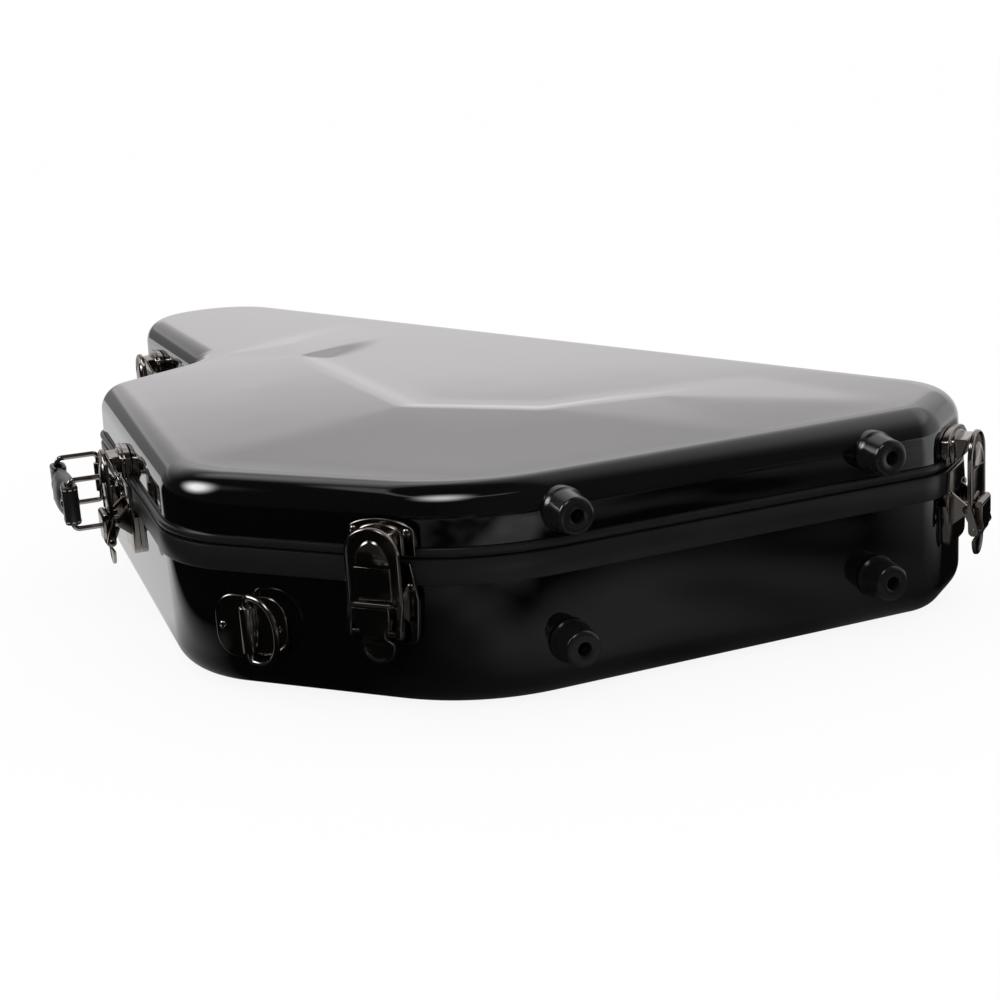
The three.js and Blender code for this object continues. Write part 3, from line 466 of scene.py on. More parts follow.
def innerPoints(ring, step):
    # an even lattice of points inside a ring
    xs = np.arange(-case["length"] / 2, case["length"] / 2, step)
    ys = np.arange(-case["width"] / 2, case["width"] / 2, step * 0.866)
    xs, ys = np.meshgrid(xs, ys)
    xs = xs + (np.arange(xs.shape[0]) % 2)[:, None] * step / 2
    return pointsWithin(ring, xs, ys, step * 0.6)


def lidShellPiece():
    bead, depth = lidRim + case["beadHeight"], case["bandStand"] + case["wall"]
    rings = ringsAt([(lidRim, case["bandStand"]), (bead, case["bandStand"])]
                    + roundedEdge(lidTop, -1, lidWall, case["lidEdge"], case["edgeSteps"])[::-1])
    innerRings = ringsAt(innerEdge(lidCeiling, -1, lidWall + case["wall"], case["lidEdge"])
                         + [(bead, depth), (lidRim, depth)])
    top = fillRing(rings[-1], innerPoints(rings[-1], crease["meshStep"]), lidHeightAt)
    shell = joinLists(loftFaces(innerRings + rings), top, fillRing(innerRings[0]))
    makePiece("lidShell", *shell, "shell", "lid", "lid_shell", sharp=50.0)


def baseShellPiece():
    shelf, depth = case["parting"] - case["bandHeight"], case["bandStand"] + case["wall"]
    rings = ringsAt(roundedEdge(0.0, 1, baseWall, case["baseEdge"], case["edgeSteps"])
                    + [(shelf, case["bandStand"]), (baseRim, case["bandStand"])]
                    + [(baseRim, depth), (shelf, depth)]
                    + innerEdge(case["wall"], 1, baseWall + case["wall"], case["baseEdge"])[::-1])
    shell = joinLists(loftFaces(rings), fillRing(rings[0]), fillRing(rings[-1]))
    makePiece("baseShell", *shell, "shell", "base", "base_shell", sharp=50.0)


def bandPiece(name, node, body, bottom, top, ease):
    # a rim strip with eased edges
    depth = case["bandStand"] - case["seatGap"]
    section = [(bottom, depth), (bottom, ease), (bottom + ease * 0.3, ease * 0.3), (bottom + ease, 0.0),
               (top - ease, 0.0), (top - ease * 0.3, ease * 0.3), (top, ease), (top, depth)]
    makePiece(name, *loftFaces(ringsAt(section), closed=True), "rim_band", body, node)


lidShellPiece()
baseShellPiece()
bandPiece("rimBand", "base_rim_band", "base", case["parting"] - case["bandHeight"], baseRim, 0.0012)
bandPiece("lidBead", "lid_rim_bead", "lid", lidRim, lidRim + case["beadHeight"], 0.0012)
print("shells made")


# panel places and small shapes; local X runs along the panel, Y up from the parting, Z outward
mm = 0.001


def panelMatrix(fromName, toName, share, shift=0.0):
    start, end = corners[fromName][0], corners[toName][0]
    way = (end - start).normalized()
    place = start.lerp(end, share) + way * shift
    return Matrix(((way.x, 0, way.y, place.x), (way.y, 0, -way.x, place.y),
                   (0, 1, 0, case["parting"]), (0, 0, 0, 1)))


def moved(part, matrix):
    return [matrix @ Vector(p) for p in part[0]], part[1]


def offsetTo(x, y, z):
    return Matrix.Translation((x * mm, y * mm, z * mm))


toX = Matrix.Rotation(pi / 2, 4, "Y")
turnOver = Matrix.Rotation(pi, 4, "X")
# these take an outline drawn on the panel's face to one seen from the side, and to one seen from above
sideOn = Matrix(((0, 0, 1, 0), (0, 1, 0, 0), (1, 0, 0, 0), (0, 0, 0, 1)))
upright = Matrix(((1, 0, 0, 0), (0, 0, 1, 0), (0, 1, 0, 0), (0, 0, 0, 1)))


def fullTurn(count):
    return [2 * pi * k / count for k in range(count)]


def arc(x, y, halfWidth, halfHeight, start, end, steps=12):
    turns = [radians(start + (end - start) * k / steps) for k in range(steps + 1)]
    return [(x + halfWidth * cos(a), y + halfHeight * sin(a)) for a in turns]


def insetLoop(loop, amount):
    count = len(loop)
    inner = []
    for index, point in enumerate(loop):
        a = (point - loop[index - 1]).normalized()
        b = (loop[(index + 1) % count] - point).normalized()
        normal = Vector((-(a.y + b.y), a.x + b.x))
        normal = normal.normalized() if normal.length > 1e-6 else Vector((-a.y, a.x))
        inner.append(point + normal * (amount / max(0.4, normal.dot(Vector((-a.y, a.x))))))
    return inner


def slab(shape, back, front, bevel, bulge=None, grain=1.5, steps=4):
    # a plate in millimetres with a rounded front edge; bulge(p) lifts its front face
    loop = []
    for point in map(Vector, shape):
        if not loop or (point - loop[-1]).length > 0.01:
            loop.append(point)
    if (loop[0] - loop[-1]).length < 0.01:
        loop.pop()
    if sum(a.x * b.y - b.x * a.y for a, b in zip(loop, loop[1:] + loop[:1])) < 0:
        loop.reverse()
    levels = [(back, 0.0), (front - bevel, 0.0)]
    levels += [(front - bevel * (1 - sin(pi / 2 * k / steps)),
                bevel * (1 - cos(pi / 2 * k / steps))) for k in range(1, steps + 1)]
    rings = [[Vector((p.x, p.y, z)) for p in insetLoop(loop, inset)] for z, inset in levels]
    points, faces = loftFaces(rings, ends=bulge is None)
    if bulge:
        faces.append(tuple(range(len(loop)))[::-1])
        xs, ys = np.meshgrid(*(np.arange(min(p[k] for p in rings[-1]), max(p[k] for p in rings[-1]), grain)
                               for k in (0, 1)))
        cap = fillRing(rings[-1], pointsWithin(rings[-1], xs, ys, grain * 0.4), lambda p: front + bulge(p))
        points, faces = joinLists((points, faces), cap)
    return [p * mm for p in points], faces


def sidePlate(shape, thick, bevel, x=0):
    # a plate on edge, its outline seen from the side
    return moved(moved(slab(shape, -thick / 2, thick / 2, bevel), sideOn), offsetTo(x, 0, 0))


def lug(shape, height, bevel, drop=0):
    # a block on the panel, its outline seen from above
    return moved(moved(slab(shape, -height / 2, height / 2, bevel), upright), offsetTo(0, -drop, 0))


def backedPlate(shape, front, bevel):
    # a plate with a pad behind its lower part, where the wall steps back under the rim band
    pad = [(x * 0.97, y) for x, y in shape if y < -19]
    return [slab(shape, 0.3, front, bevel), slab(pad, -2.9, 1.0, 0.3)]


def turned(profile, segments=32, root=()):
    # a turned solid about local Z from (radius, height) pairs in millimetres; root is a ring below them
    rings = [[Vector((radius * cos(a), radius * sin(a), height)) * mm for a in fullTurn(segments)]
             for radius, height in profile]
    return loftFaces([*root, *rings])


def rod(radius, length, middle):
    # a pin along the panel, with eased ends
    half, ease = length / 2, 0.4
    part = turned([(0, -half), (radius - ease, -half), (radius, -half + ease), (radius, half - ease),
                   (radius - ease, half), (0, half)], 20)
    return moved(moved(part, toX), offsetTo(*middle))


def tube(path, radius, closed=True, sides=14, flat=Vector((1, 0, 0))):
    # a round wire along a plane path in millimetres; flat is the plane's normal
    count = len(path)
    rings = []
    for index, point in enumerate(path):
        before = path[index - 1] if closed or index else point
        after = path[(index + 1) % count] if closed or index < count - 1 else point
        way = (after - before).normalized()
        across = way.cross(flat).normalized()
        rings.append([(point + across * radius * cos(a) + flat * radius * sin(a)) * mm
                      for a in fullTurn(sides)])
    return loftFaces(rings, closed, ends=not closed)


def screwHead(x, y, seat, radius=2.6, rise=1.5):
    # a domed head with a cross recess
    segments, levels, recess = 48, 12, rise - 0.55
    rings = []
    for reach in (radius * level / levels for level in range(1, levels + 1)):
        dome = rise * sqrt(max(0.0, 1 - (reach / radius) ** 2 * 0.85))
        ring = []
        for angle in fullTurn(segments):
            px, py = reach * cos(angle), reach * sin(angle)
            cut = min(abs(px), abs(py)) < 0.36 and reach < radius * 0.62
            ring.append(Vector((px, py, min(dome, recess) if cut else dome)))
        rings.append(ring)
    rings.append([Vector((p.x, p.y, -0.4)) for p in rings[-1]])
    points, faces = joinLists(([Vector((0, 0, recess))], []), loftFaces(rings))
    faces += [(0, 1 + k, 1 + (k + 1) % segments) for k in range(segments)]
    faces.append(tuple(range(len(points) - segments, len(points)))[::-1])
    return [p * mm + Vector((x, y, seat)) * mm for p in points], faces


def hardwarePiece(name, parts, matrix, body, node, finish="hardware", sharp=32.0):
    points, faces = moved(joinLists(*parts), matrix)
    return makePiece(name, points, faces, finish, body, node, sharp)


# lever latches
latch = {
    "places": {"front": ("shoulder", "front", 0.735), "side": ("lobe", "shoulder", 0.45),
               "tail": ("tailFront", "notch", 0.36), "end": ("rightNear", "rightFar", 0.33)},
    "plateHalf": 23.0, "plateFront": 1.9, "pivotDrop": 29.0, "pivotStand": 12.0, "pinRadius": 2.0,
    "strapDrop": 43.0, "strapPivotStand": 17.4, "strapHalf": 19.0, "strapStand": 13.6, "strapTop": 23.0,
    "webBottom": -25.4, "bossHalf": 11.5, "bossTop": 15.0, "bossRise": 3.5, "leverStand": 19.6,
    "leverThick": 2.2, "tabLean": 5.0, "leverHalf": 12.5, "neckHalf": 8.5, "tabRadius": 12.0,
    "leverDrop": 64.0, "earReach": 14.0, "capReach": 15.2, "screwReach": 18.4,
}


def archOutline(half, bottom, top, share):
    return [(-half, bottom), (half, bottom)] + arc(0, top - half * share, half, half * share, 0, 180, 20)


def basePlateParts():
    half, front = latch["plateHalf"], latch["plateFront"]
    drop, stand = latch["pivotDrop"], latch["pivotStand"]
    shape = [(-half * 0.81, -2.5), (-half, -26), (-half * 0.9, -50)]
    shape += arc(-half * 0.62 + 1, -50, half * 0.28 + 1, 5, 180, 270, 6)
    shape += arc(half * 0.62 - 1, -50, half * 0.28 + 1, 5, 270, 360, 6)
    shape += [(half * 0.9, -50), (half, -26), (half * 0.81, -2.5)]
    parts = backedPlate(shape, front, 0.8)
    ear = [(1.2, -drop - 12), (stand, -drop - 3.2)]
    ear += [*arc(stand, -drop, 3.2, 3.2, -90, 90, 10), (1.2, -drop + 12)]
    cap = turned([(0, 0), (2.7, 0), (2.7, 0.7), (1.9, 1.2), (0, 1.3)], 20)
    for side, turn in ((-1, toX @ turnOver), (1, toX)):
        parts += [sidePlate(ear, 2.6, 0.4, side * latch["earReach"]),
                  screwHead(side * latch["screwReach"], -18, front),
                  moved(moved(cap, turn), offsetTo(side * latch["capReach"], -drop, stand))]
    return parts + [rod(latch["pinRadius"], 29.0, (0, -drop, stand))]


def keeperParts():
    half, front = latch["plateHalf"], latch["plateFront"]
    hook = [(1.2, 6), (7.4, 6), (12.0, 18.2), (11.2, 19), (1.2, 19)]
    return [slab(archOutline(half, 2.5, 25, 0.35), 0.3, front, 0.8),
            slab(archOutline(half * 0.97, 7.0, 24.4, 0.35), -2.9, 1.0, 0.3),
            slab(archOutline(15.6, 2.8, 22.4, 0.45), 1.0, 4.2, 1.3), sidePlate(hook, 25.2, 1.4),
            *(screwHead(side * latch["screwReach"], 17, front) for side in (-1, 1))]


def strapParts():
    half, stand = latch["strapHalf"], latch["strapStand"]
    bottom, top = latch["webBottom"], latch["strapTop"]
    web = archOutline(half, bottom, top, 0.9)
    rim = [Vector((x, y, stand + 1.7)) for x, y in
           [(half - 1.4, bottom + 0.6)] + arc(0, top - half * 0.9, half - 1.4, half * 0.9 - 1.4, 0, 180, 28)
           + [(-half + 1.4, bottom + 0.6)]]
    parts = [slab(web, stand, stand + 1.8, 0.8), tube(rim, 1.3, closed=False, flat=Vector((0, 0, 1)))]
    bossHalf, bossTop, rise = latch["bossHalf"], latch["bossTop"], latch["bossRise"]

    def dome(p):
        share = (p.x / bossHalf) ** 2 + (max(p.y, 0.0) / bossTop) ** 2
        return rise * sqrt(max(0.0, 1 - share))

    boss = arc(0, 0, bossHalf, bossTop, 0, 180, 32)
    parts.append(slab(boss, stand + 0.9, stand + 1.9, 0.1, bulge=dome, grain=0.7, steps=1))
    count = 24
    lip = [-bossHalf + 2 * bossHalf * k / count for k in range(count + 1)]
    low = [Vector((x, -0.02, stand + 1.0)) * mm for x in lip]
    high = [Vector((x, -0.02, dome(Vector((x, 0))) + stand + 1.9)) * mm for x in lip]
    parts.append((low + high, [(k, k + 1, k + count + 2, k + count + 1) for k in range(count)]))
    panel = [(-12.5, bottom + 2), (12.5, bottom + 2), (12.5, -1.8), (-12.5, -1.8)]
    parts.append(slab(panel, stand + 0.9, stand + 2.7, 0.7))
    for side in (-1, 1):
        link = arc(latch["strapPivotStand"], -latch["strapDrop"], 3.4, 3.4, -180, 0, 12)
        link += [(stand + 1.8, bottom + 1.5), (stand, bottom + 1.5)]
        parts.append(sidePlate(link, 3.4, 0.5, side * 17.3))
    return parts


def leverParts():
    half, neck, tab = latch["leverHalf"], latch["neckHalf"], latch["tabRadius"]
    top, drop = -latch["pivotDrop"] + 3, latch["strapDrop"]
    stand, thick = latch["leverStand"], latch["leverThick"]
    middle = -latch["leverDrop"] + tab
    rightSide = [(half, top), (half, -drop + 7), (half - 1.2, -drop + 5), (neck + 0.7, -drop + 2.4),
                 (neck, -drop + 1), (neck, -drop - 2), (neck + 0.5, -drop - 3.2)]
    shape = rightSide + arc(0, middle, tab, tab, 12, -192, 40) + [(-x, y) for x, y in reversed(rightSide)]

    def dish(p):
        # the thumb tab's shallow dish below a smooth brow
        return -max(0.0, 1 - ((p - Vector((0, middle - 0.6))).length / (tab - 2.0)) ** 4)

    plate, plateFaces = slab(shape, stand, stand + thick, 0.8, bulge=dish, grain=0.8)
    for point in plate:
        lean = min(1.0, max(0.0, (-drop * mm - point.y) / (10 * mm)))
        point.z -= latch["tabLean"] * mm * lean * lean * (3 - 2 * lean)
    cheek = [(8, top + 0.8), (12, top), (stand + 1, top), (stand + 1, -drop - 2), (13.4, -drop - 2), (8, -33)]
    return [(plate, plateFaces), sidePlate(cheek, 2, 0.3, -7.5), sidePlate(cheek, 2, 0.3, 7.5),
            rod(latch["pinRadius"], 38.6, (0, -drop, latch["strapPivotStand"])),
            rod(2.6, 24.6, (0, top + 0.4, stand - 0.4))]


for name, place in latch["places"].items():
    seat, strap, lever = panelMatrix(*place), f"latch_{name}_strap", f"latch_{name}_lever"
    hardwarePiece(f"latchBasePlate_{name}", basePlateParts(), seat, "base", f"latch_{name}_base_plate")
    hardwarePiece(f"latchKeeper_{name}", keeperParts(), seat, "lid", f"latch_{name}_keeper")
    hardwarePiece(f"latchStrap_{name}", strapParts(), seat, strap, strap)
    hardwarePiece(f"latchLever_{name}", leverParts(), seat, lever, lever)
print("latches made")


# feet on the end panel
foot = {
    "shares": {"inner": 0.193, "outer": 0.85}, "rows": {"base": -63.0, "lid": 22.0},
    "baseRadius": 14.5, "tipRadius": 12.0, "height": 20.0, "bore": 4.5, "boreDepth": 14.0,
}


def wallInsetAt(rise):
    # the shell's inset at a rise above the parting, both in millimetres
    height, inset = case["parting"] + rise * mm, case["bandStand"]
    if height < case["baseEdge"]:
        down = 1 - height / case["baseEdge"]
        inset = baseWall + case["baseEdge"] * (1 - sqrt(max(0.0, 1 - down * down)))
    elif height > lidTop - case["lidEdge"]:
        up = min(1.0, (height - lidTop + case["lidEdge"]) / case["lidEdge"])
        inset = lidWall + case["lidEdge"] * (1 - sqrt(max(0.0, 1 - up * up)))
    return inset / mm


def footParts(rowHeight):
    segments = 48
    radius, tip, height, bore = (foot[key] for key in ("baseRadius", "tipRadius", "height", "bore"))
    profile = [(radius, 1.2), (radius - 0.25, 2.0)]
    profile += [(tip + (radius - 0.6 - tip) * (1 - k / 5), 2.6 + (height - 5.0) * k / 5) for k in range(6)]
    profile += [(tip - 2.4 + 2.4 * cos(radians(a)), height - 2.4 + 2.4 * sin(radians(a)))
                for a in (15, 35, 55, 75, 90)]
    profile += [(bore + 0.7, height), (bore + 0.2, height - 0.2), (bore, height - 0.8),
                (bore, height - foot["boreDepth"]), (0.0, height - foot["boreDepth"])]
    here = wallInsetAt(rowHeight)
    root = []
    for angle in fullTurn(segments):
        rise = radius * sin(angle)
        root.append(Vector((radius * cos(angle), rise, here - wallInsetAt(rowHeight + rise))) * mm)
    return [turned(profile, segments, [root])]


def footScrewParts():
    seat = foot["height"] - foot["boreDepth"] + 0.3
    return [moved(screwHead(0, 0, 0, radius=4.0, rise=2.4), offsetTo(0, 0, seat)),
            turned([(0, seat), (4.0, seat), (4.0, seat + 0.5), (0, seat + 0.5)], 32)]


for side, share in foot["shares"].items():
    panel = panelMatrix("front", "rightNear", share)
    for row, rowHeight in foot["rows"].items():
        seat = panel @ offsetTo(0, rowHeight, 0.3 - wallInsetAt(rowHeight))
        node = f"foot_{row}_{side}"
        hardwarePiece(node, footParts(rowHeight), seat, row, node, "foot", 40.0)
        hardwarePiece(f"footScrew_{row}_{side}", footScrewParts(), seat, row, f"foot_screw_{row}_{side}")
print("feet made")


# plates and wire rings for a carrying strap
strapRing = {
    "places": {"front": ("shoulder", "front", 0.262), "tail": ("tailFront", "notch", 0.64)},
    "plate": (54.0, 43.0, 15.0, 2.0), "drop": 55.0, "lug": (9.6, 30.8), "axisStand": 5.4,
    "wire": 2.2, "height": 44.0, "reach": 28.0, "bend": 0.9, "restTurn": 72.0, "screwReach": 21.0,
}


def roundedBox(width, height, corner, middle=0.0, steps=8):
    x, y = width / 2 - corner, height / 2 - corner
    shape = []
    for cx, cy, start in ((x, -y, -90), (x, y, 0), (-x, y, 90), (-x, -y, 180)):
        shape += arc(cx, cy + middle, corner, corner, start, start + 90, steps)
    return shape


def loopPath(part):
    # a straight bar on local Y and a rounded bow outward
    half, reach, small = part["height"] / 2, part["reach"], 2 * part["wire"]
    bend = min(half, reach) * part["bend"]
    path = [Vector((0, -half + small, 0)), Vector((0, half - small, 0))]
    for stand, rise, size, start, end in (
            (small, half - small, small, 180, 90), (reach - bend, half - bend, bend, 90, 0),
            (reach - bend, -half + bend, bend, 0, -90), (small, -half + small, small, -90, -180)):
        path += [Vector((0, y, z)) for z, y in arc(stand, rise, size, size, start, end, 8)]
    kept = [path[0]]
    for point in path[1:]:
        if (point - kept[-1]).length > 0.3 and (point - kept[0]).length > 0.3:
            kept.append(point)
    return kept


def ringPlateParts():
    width, height, corner, thick = strapRing["plate"]
    lugWidth, lugHeight = strapRing["lug"]
    half = lugWidth / 2
    barrel = [(-half - 1.6, 1.2), (half + 1.6, 1.2), (half + 0.3, 2.2), (half, 3.6),
              *arc(0, strapRing["axisStand"], half, half, 0, 180, 14), (-half, 3.6), (-half - 0.3, 2.2)]
    return [slab(roundedBox(width, height, corner), 0.0, thick, 1.2), lug(barrel, lugHeight, 0.9),
            *(screwHead(side * strapRing["screwReach"], 0, thick) for side in (-1, 1))]


for name, place in strapRing["places"].items():
    drop = strapRing["drop"]
    seat = panelMatrix(*place) @ offsetTo(0, -drop, 0.3 - wallInsetAt(-drop))
    hardwarePiece(f"strapRingPlate_{name}", ringPlateParts(), seat, "base", f"strap_ring_plate_{name}")
    turn = Matrix.Rotation(radians(strapRing["restTurn"]), 4, "Y")
    hardwarePiece(f"strapRing_{name}", [tube(loopPath(strapRing), strapRing["wire"])],
                  seat @ offsetTo(0, 0, strapRing["axisStand"]) @ turn,
                  f"strap_ring_{name}", f"strap_ring_{name}", sharp=60.0)
print("strap rings made")


# leather handle on two wire loops
handle = {
    "latchGap": 7.0, "span": 80.0, "drop": 26.0, "height": 38.0, "reach": 32.0, "wire": 2.1, "bend": 0.22,
    "plate": (24.0, 40.0, 7.2), "front": 2.3, "lug": (8.0, 23.0), "axisStand": 5.6,
    "gripHalf": 15.0, "gripThick": 8.6, "bandThick": 3.4, "stitch": (2.7, 1.6, 0.34), "stitchInset": 2.4,
    "screwReach": 15.9, "rivetInset": 10.0,
}
handleShift = -(latch["plateHalf"] + handle["latchGap"] + handle["plate"][0] / 2 + handle["span"] / 2) * mm
handlePanel = panelMatrix("lobe", "shoulder", 0.45, handleShift)
handleSeat = handlePanel @ offsetTo(0, -handle["drop"], handle["axisStand"])


def bracketParts():
    width, height, corner = handle["plate"]
    lugWidth, lugHeight = handle["lug"]
    half, drop, front = lugWidth / 2, handle["drop"], handle["front"]
    barrel = [(-half - 1.2, 1.2), (half + 1.2, 1.2), (half, 3.4),
              *arc(0, handle["axisStand"], half, half, 0, 180, 12), (-half, 3.4)]
    return [*backedPlate(roundedBox(width, height, corner, -drop), front, 0.9),
            lug(barrel, lugHeight, 0.8, drop),
            *(screwHead(0, -drop + side * handle["screwReach"], front) for side in (-1, 1))]


def bandSection(centre, outward, half, thickness):
    # a strap's cross section: a flat rounded bar standing on local Y
    return [(centre + outward * x + Vector((0, y, 0))) * mm
            for x, y in roundedBox(thickness, half * 2, thickness * 0.42, 0.0, 4)]


def wrapPath(side, reach):
    # from the grip's back face round the loop's outer bar to its front face
    end = side * handle["span"] / 2
    path = [(end - side * 17, -reach * 0.6), (end - side * 11, -reach * 0.95), (end - side * 4, -reach)]
    path += [(end + side * reach * sin(radians(a)), -reach * cos(radians(a)))
             for a in range(0, 181, 15)]
    path += [(end - side * 4, reach), (end - side * 11, reach * 0.95), (end - side * 17, reach * 0.6)]
    return [Vector((x, 0, z)) for x, z in path]


def pathFrames(path, side):
    frames = []
    for index, point in enumerate(path):
        before, after = path[max(index - 1, 0)], path[min(index + 1, len(path) - 1)]
        way = (after - before).normalized()
        frames.append((point, Vector((way.z, 0, -way.x)) * side))
    return frames


def soft(value, power):
    return copysign(abs(value) ** power, value)


def gripParts():
    half, thick, band = handle["gripHalf"], handle["gripThick"], handle["bandThick"]
    rings = []
    for k in range(33):
        u = -1 + 2 * k / 32
        swell = 1 - abs(u) ** 2.6
        x = u * (handle["span"] / 2 - 9)
        a, b = 2.6 + (thick - 2.6) * swell, half * (0.9 + 0.12 * swell)
        rings.append([Vector((x, b * soft(sin(turn), 0.75), a * soft(cos(turn), 0.85))) * mm
                      for turn in fullTurn(40)])
    parts = [loftFaces(rings, ends=True)]
    for side in (-1, 1):
        wrap = pathFrames(wrapPath(side, handle["wire"] + 0.5 + band / 2), side)
        parts.append(loftFaces([bandSection(point, out, half, band) for point, out in wrap], ends=True))
    return parts


def stitchParts():
    length, gap, radius = handle["stitch"]
    band = handle["bandThick"]
    parts = []
    for side in (-1, 1):
        path = wrapPath(side, handle["wire"] + 0.5 + band + 0.02)
        edge = handle["gripHalf"] - handle["stitchInset"]
        for height in (-edge, edge):
            line = [point + Vector((0, height, 0)) for point in path]
            travelled, run = 0.0, []
            for a, b in zip(line, line[1:]):
                steps = max(1, int((b - a).length / 0.3))
                for k in range(steps):
                    point = a.lerp(b, k / steps)
                    phase = travelled % (length + gap)
                    if phase < length:
                        run.append(point)
                    elif len(run) > 2:
                        parts.append(tube(run, radius, closed=False, sides=8, flat=Vector((0, 1, 0))))
                        run = []
                    travelled += (b - a).length / steps
    return parts


def rivetParts():
    reach = handle["wire"] + 0.3 + handle["bandThick"]
    cap = turned([(0, -0.6), (4.2, -0.6), (4.2, 0.3), (3.6, 0.9), (2.2, 1.25), (0, 1.35)], 28)
    parts = []
    for x in (handle["rivetInset"] - handle["span"] / 2, handle["span"] / 2 - handle["rivetInset"]):
        parts += [moved(cap, offsetTo(x, 0, reach)), moved(moved(cap, turnOver), offsetTo(x, 0, -reach))]
    return parts


for name, side in (("lobe", -1), ("latch", 1)):
    shifted = offsetTo(side * handle["span"] / 2, 0, 0)
    hardwarePiece(f"handleBracket_{name}", bracketParts(), handlePanel @ shifted, "base",
                  f"handle_bracket_{name}")
    hardwarePiece(f"handleRing_{name}", [tube(loopPath(handle), handle["wire"])], handleSeat @ shifted,
                  f"handle_ring_{name}", f"handle_ring_{name}", sharp=60.0)
gripSeat = handleSeat @ offsetTo(0, 0, handle["reach"])
grip = hardwarePiece("handleGrip", gripParts(), gripSeat, "handle_grip", "handle_grip", "leather", 40.0)
hardwarePiece("handleStitches", stitchParts(), gripSeat, "handle_grip", None, "thread")
hardwarePiece("handleRivets", rivetParts(), gripSeat, "handle_grip", None)
print("handle made")


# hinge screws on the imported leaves
hinge = {"shares": (0.15, 0.5, 0.85), "screws": (-22, 0, 22), "screwHeight": 17.0, "front": 2.1}
for index, share in enumerate(hinge["shares"]):
    panel = panelMatrix("rightFar", "tailBack", share)
    for body, way in (("base", -1), ("lid", 1)):
        heads = [screwHead(x, way * hinge["screwHeight"], hinge["front"]) for x in hinge["screws"]]
        hardwarePiece(f"hingeScrews_{body}_{index + 1}", heads, panel, body, None)
print("hinges made")


# padded linings and the neck cradle
lining = {
    "wall": 0.011, "floor": 0.014, "top": 0.005, "lidDepth": 0.016, "clear": 0.0005, "crown": 0.0015,
    "crownReach": 0.05, "foot": 0.0009, "rimRound": 0.005, "swell": 0.0008, "padEase": 0.005,
}


def padPiece(name, node, body, part):
    piece = makePiece(name, *part, "lining", body, node, sharp=70.0)


def wallPad(shellEdge, rim, inset, direction):
    # a ring of foam along a shell's wall, with a rounded rim and a face that swells between rim and floor
    padInset = inset + lining["wall"]
    footHeight = shellEdge[0][0] + direction * lining["foot"]
    levels = [(footHeight, padInset)] + [(height, place) for height, place in shellEdge if place < padInset]
    turns = [radians(angle) for angle in range(0, 181, 20)]
    levels += [(rim + direction * lining["rimRound"] * (sin(a) - 1),
                inset + lining["wall"] / 2 * (1 - cos(a))) for a in turns]
    start, end = levels[-1][0], footHeight
    levels += [(start + (end - start) * k / 6, padInset - lining["swell"] * (1 - sin(pi * k / 6)))
               for k in range(1, 6)]
    return loftFaces(ringsAt(levels), closed=True)


def flatPad(back, face, inset, direction):
    # a quilted-in cushion: rounded edge, crowned face
    ease = lining["padEase"]
    levels = [(back, inset + 0.004), (back + direction * 0.002, inset)]
    levels += [(face - direction * ease * (1 - sin(a)), inset + ease * (1 - cos(a)))
               for a in (pi / 2 * k / 6 for k in range(7))]
    rings = ringsAt(levels)
    lattice = innerPoints(rings[-1], 0.012)
    gaps = signedGap(rings[-1], np.array([p.x for p in lattice]), np.array([p.y for p in lattice]))
    rises = {(round(p.x, 6), round(p.y, 6)): float(gap) for p, gap in zip(lattice, gaps)}

    def crowned(p):
        gap = rises.get((round(p.x, 6), round(p.y, 6)), 0.0)
        share = min(1.0, gap / lining["crownReach"])
        return face + direction * lining["crown"] * sin(share * pi / 2)

    return joinLists(loftFaces(rings), fillRing(rings[0]), fillRing(rings[-1], lattice, crowned))


baseFit = baseWall + case["wall"] + lining["clear"]
lidFit = lidWall + case["wall"] + lining["clear"]
padFit = lining["wall"] + case["seatGap"]
floorBack = case["wall"] + lining["clear"]
floorLevel = floorBack + lining["floor"]
topBack = lidCeiling - lining["clear"]
baseInside = innerEdge(floorBack, 1, baseFit, case["baseEdge"])
lidInside = innerEdge(topBack, -1, lidFit, case["lidEdge"])
padPiece("baseLining", "base_lining", "base", wallPad(baseInside, baseRim - lining["top"], baseFit, 1))
padPiece("baseFloorPad", "base_floor_pad", "base", flatPad(floorBack, floorLevel, baseFit + padFit, 1))
padPiece("lidLining", "lid_lining", "lid", wallPad(lidInside, lidRim + lining["top"], lidFit, -1))
padPiece("lidTopPad", "lid_top_pad", "lid",
         flatPad(topBack, lidCeiling - lining["lidDepth"], lidFit + padFit, -1))

cradle = {
    "length": 46.0, "height": 52.0, "width": 96.0, "share": -0.36,
    "slot": 58.0, "slotDepth": 26.0, "slotShare": 0.3,
}


def cradleParts():
    half, slot, height = cradle["width"] / 2, cradle["slot"] / 2, cradle["height"]
    dip = cradle["slot"] * cradle["slotShare"]
    shape = [(-half, 0.0), (half, 0.0), (half, height - 5), *arc(half - 5, height - 5, 5, 5, 0, 90, 6),
             *arc(slot + 4, height - 4, 4, 4, 90, 180, 5),
             *arc(0, height - cradle["slotDepth"] + dip, slot, dip, 0, -180, 24),
             *arc(-slot - 4, height - 4, 4, 4, 0, 90, 5), *arc(-half + 5, height - 5, 5, 5, 90, 180, 6)]
    points, faces = slab(shape, 0.0, cradle["length"] / 2, 4.0, steps=6)
    return [(points, faces), ([Vector((p.x, p.y, -p.z)) for p in points], [face[::-1] for face in faces])]


cradleY = case["width"] / 2 - baseFit - lining["wall"] - case["seatGap"] - cradle["width"] / 2 * mm
standing = Matrix(((0, 0, 1, cradle["share"] * case["length"]), (1, 0, 0, cradleY),
                   (0, 1, 0, floorLevel + case["seatGap"]), (0, 0, 0, 1)))
neckCradle = hardwarePiece("neckCradle", cradleParts(), standing, "base", "neck_cradle", "lining", 50.0)
print("linings made")


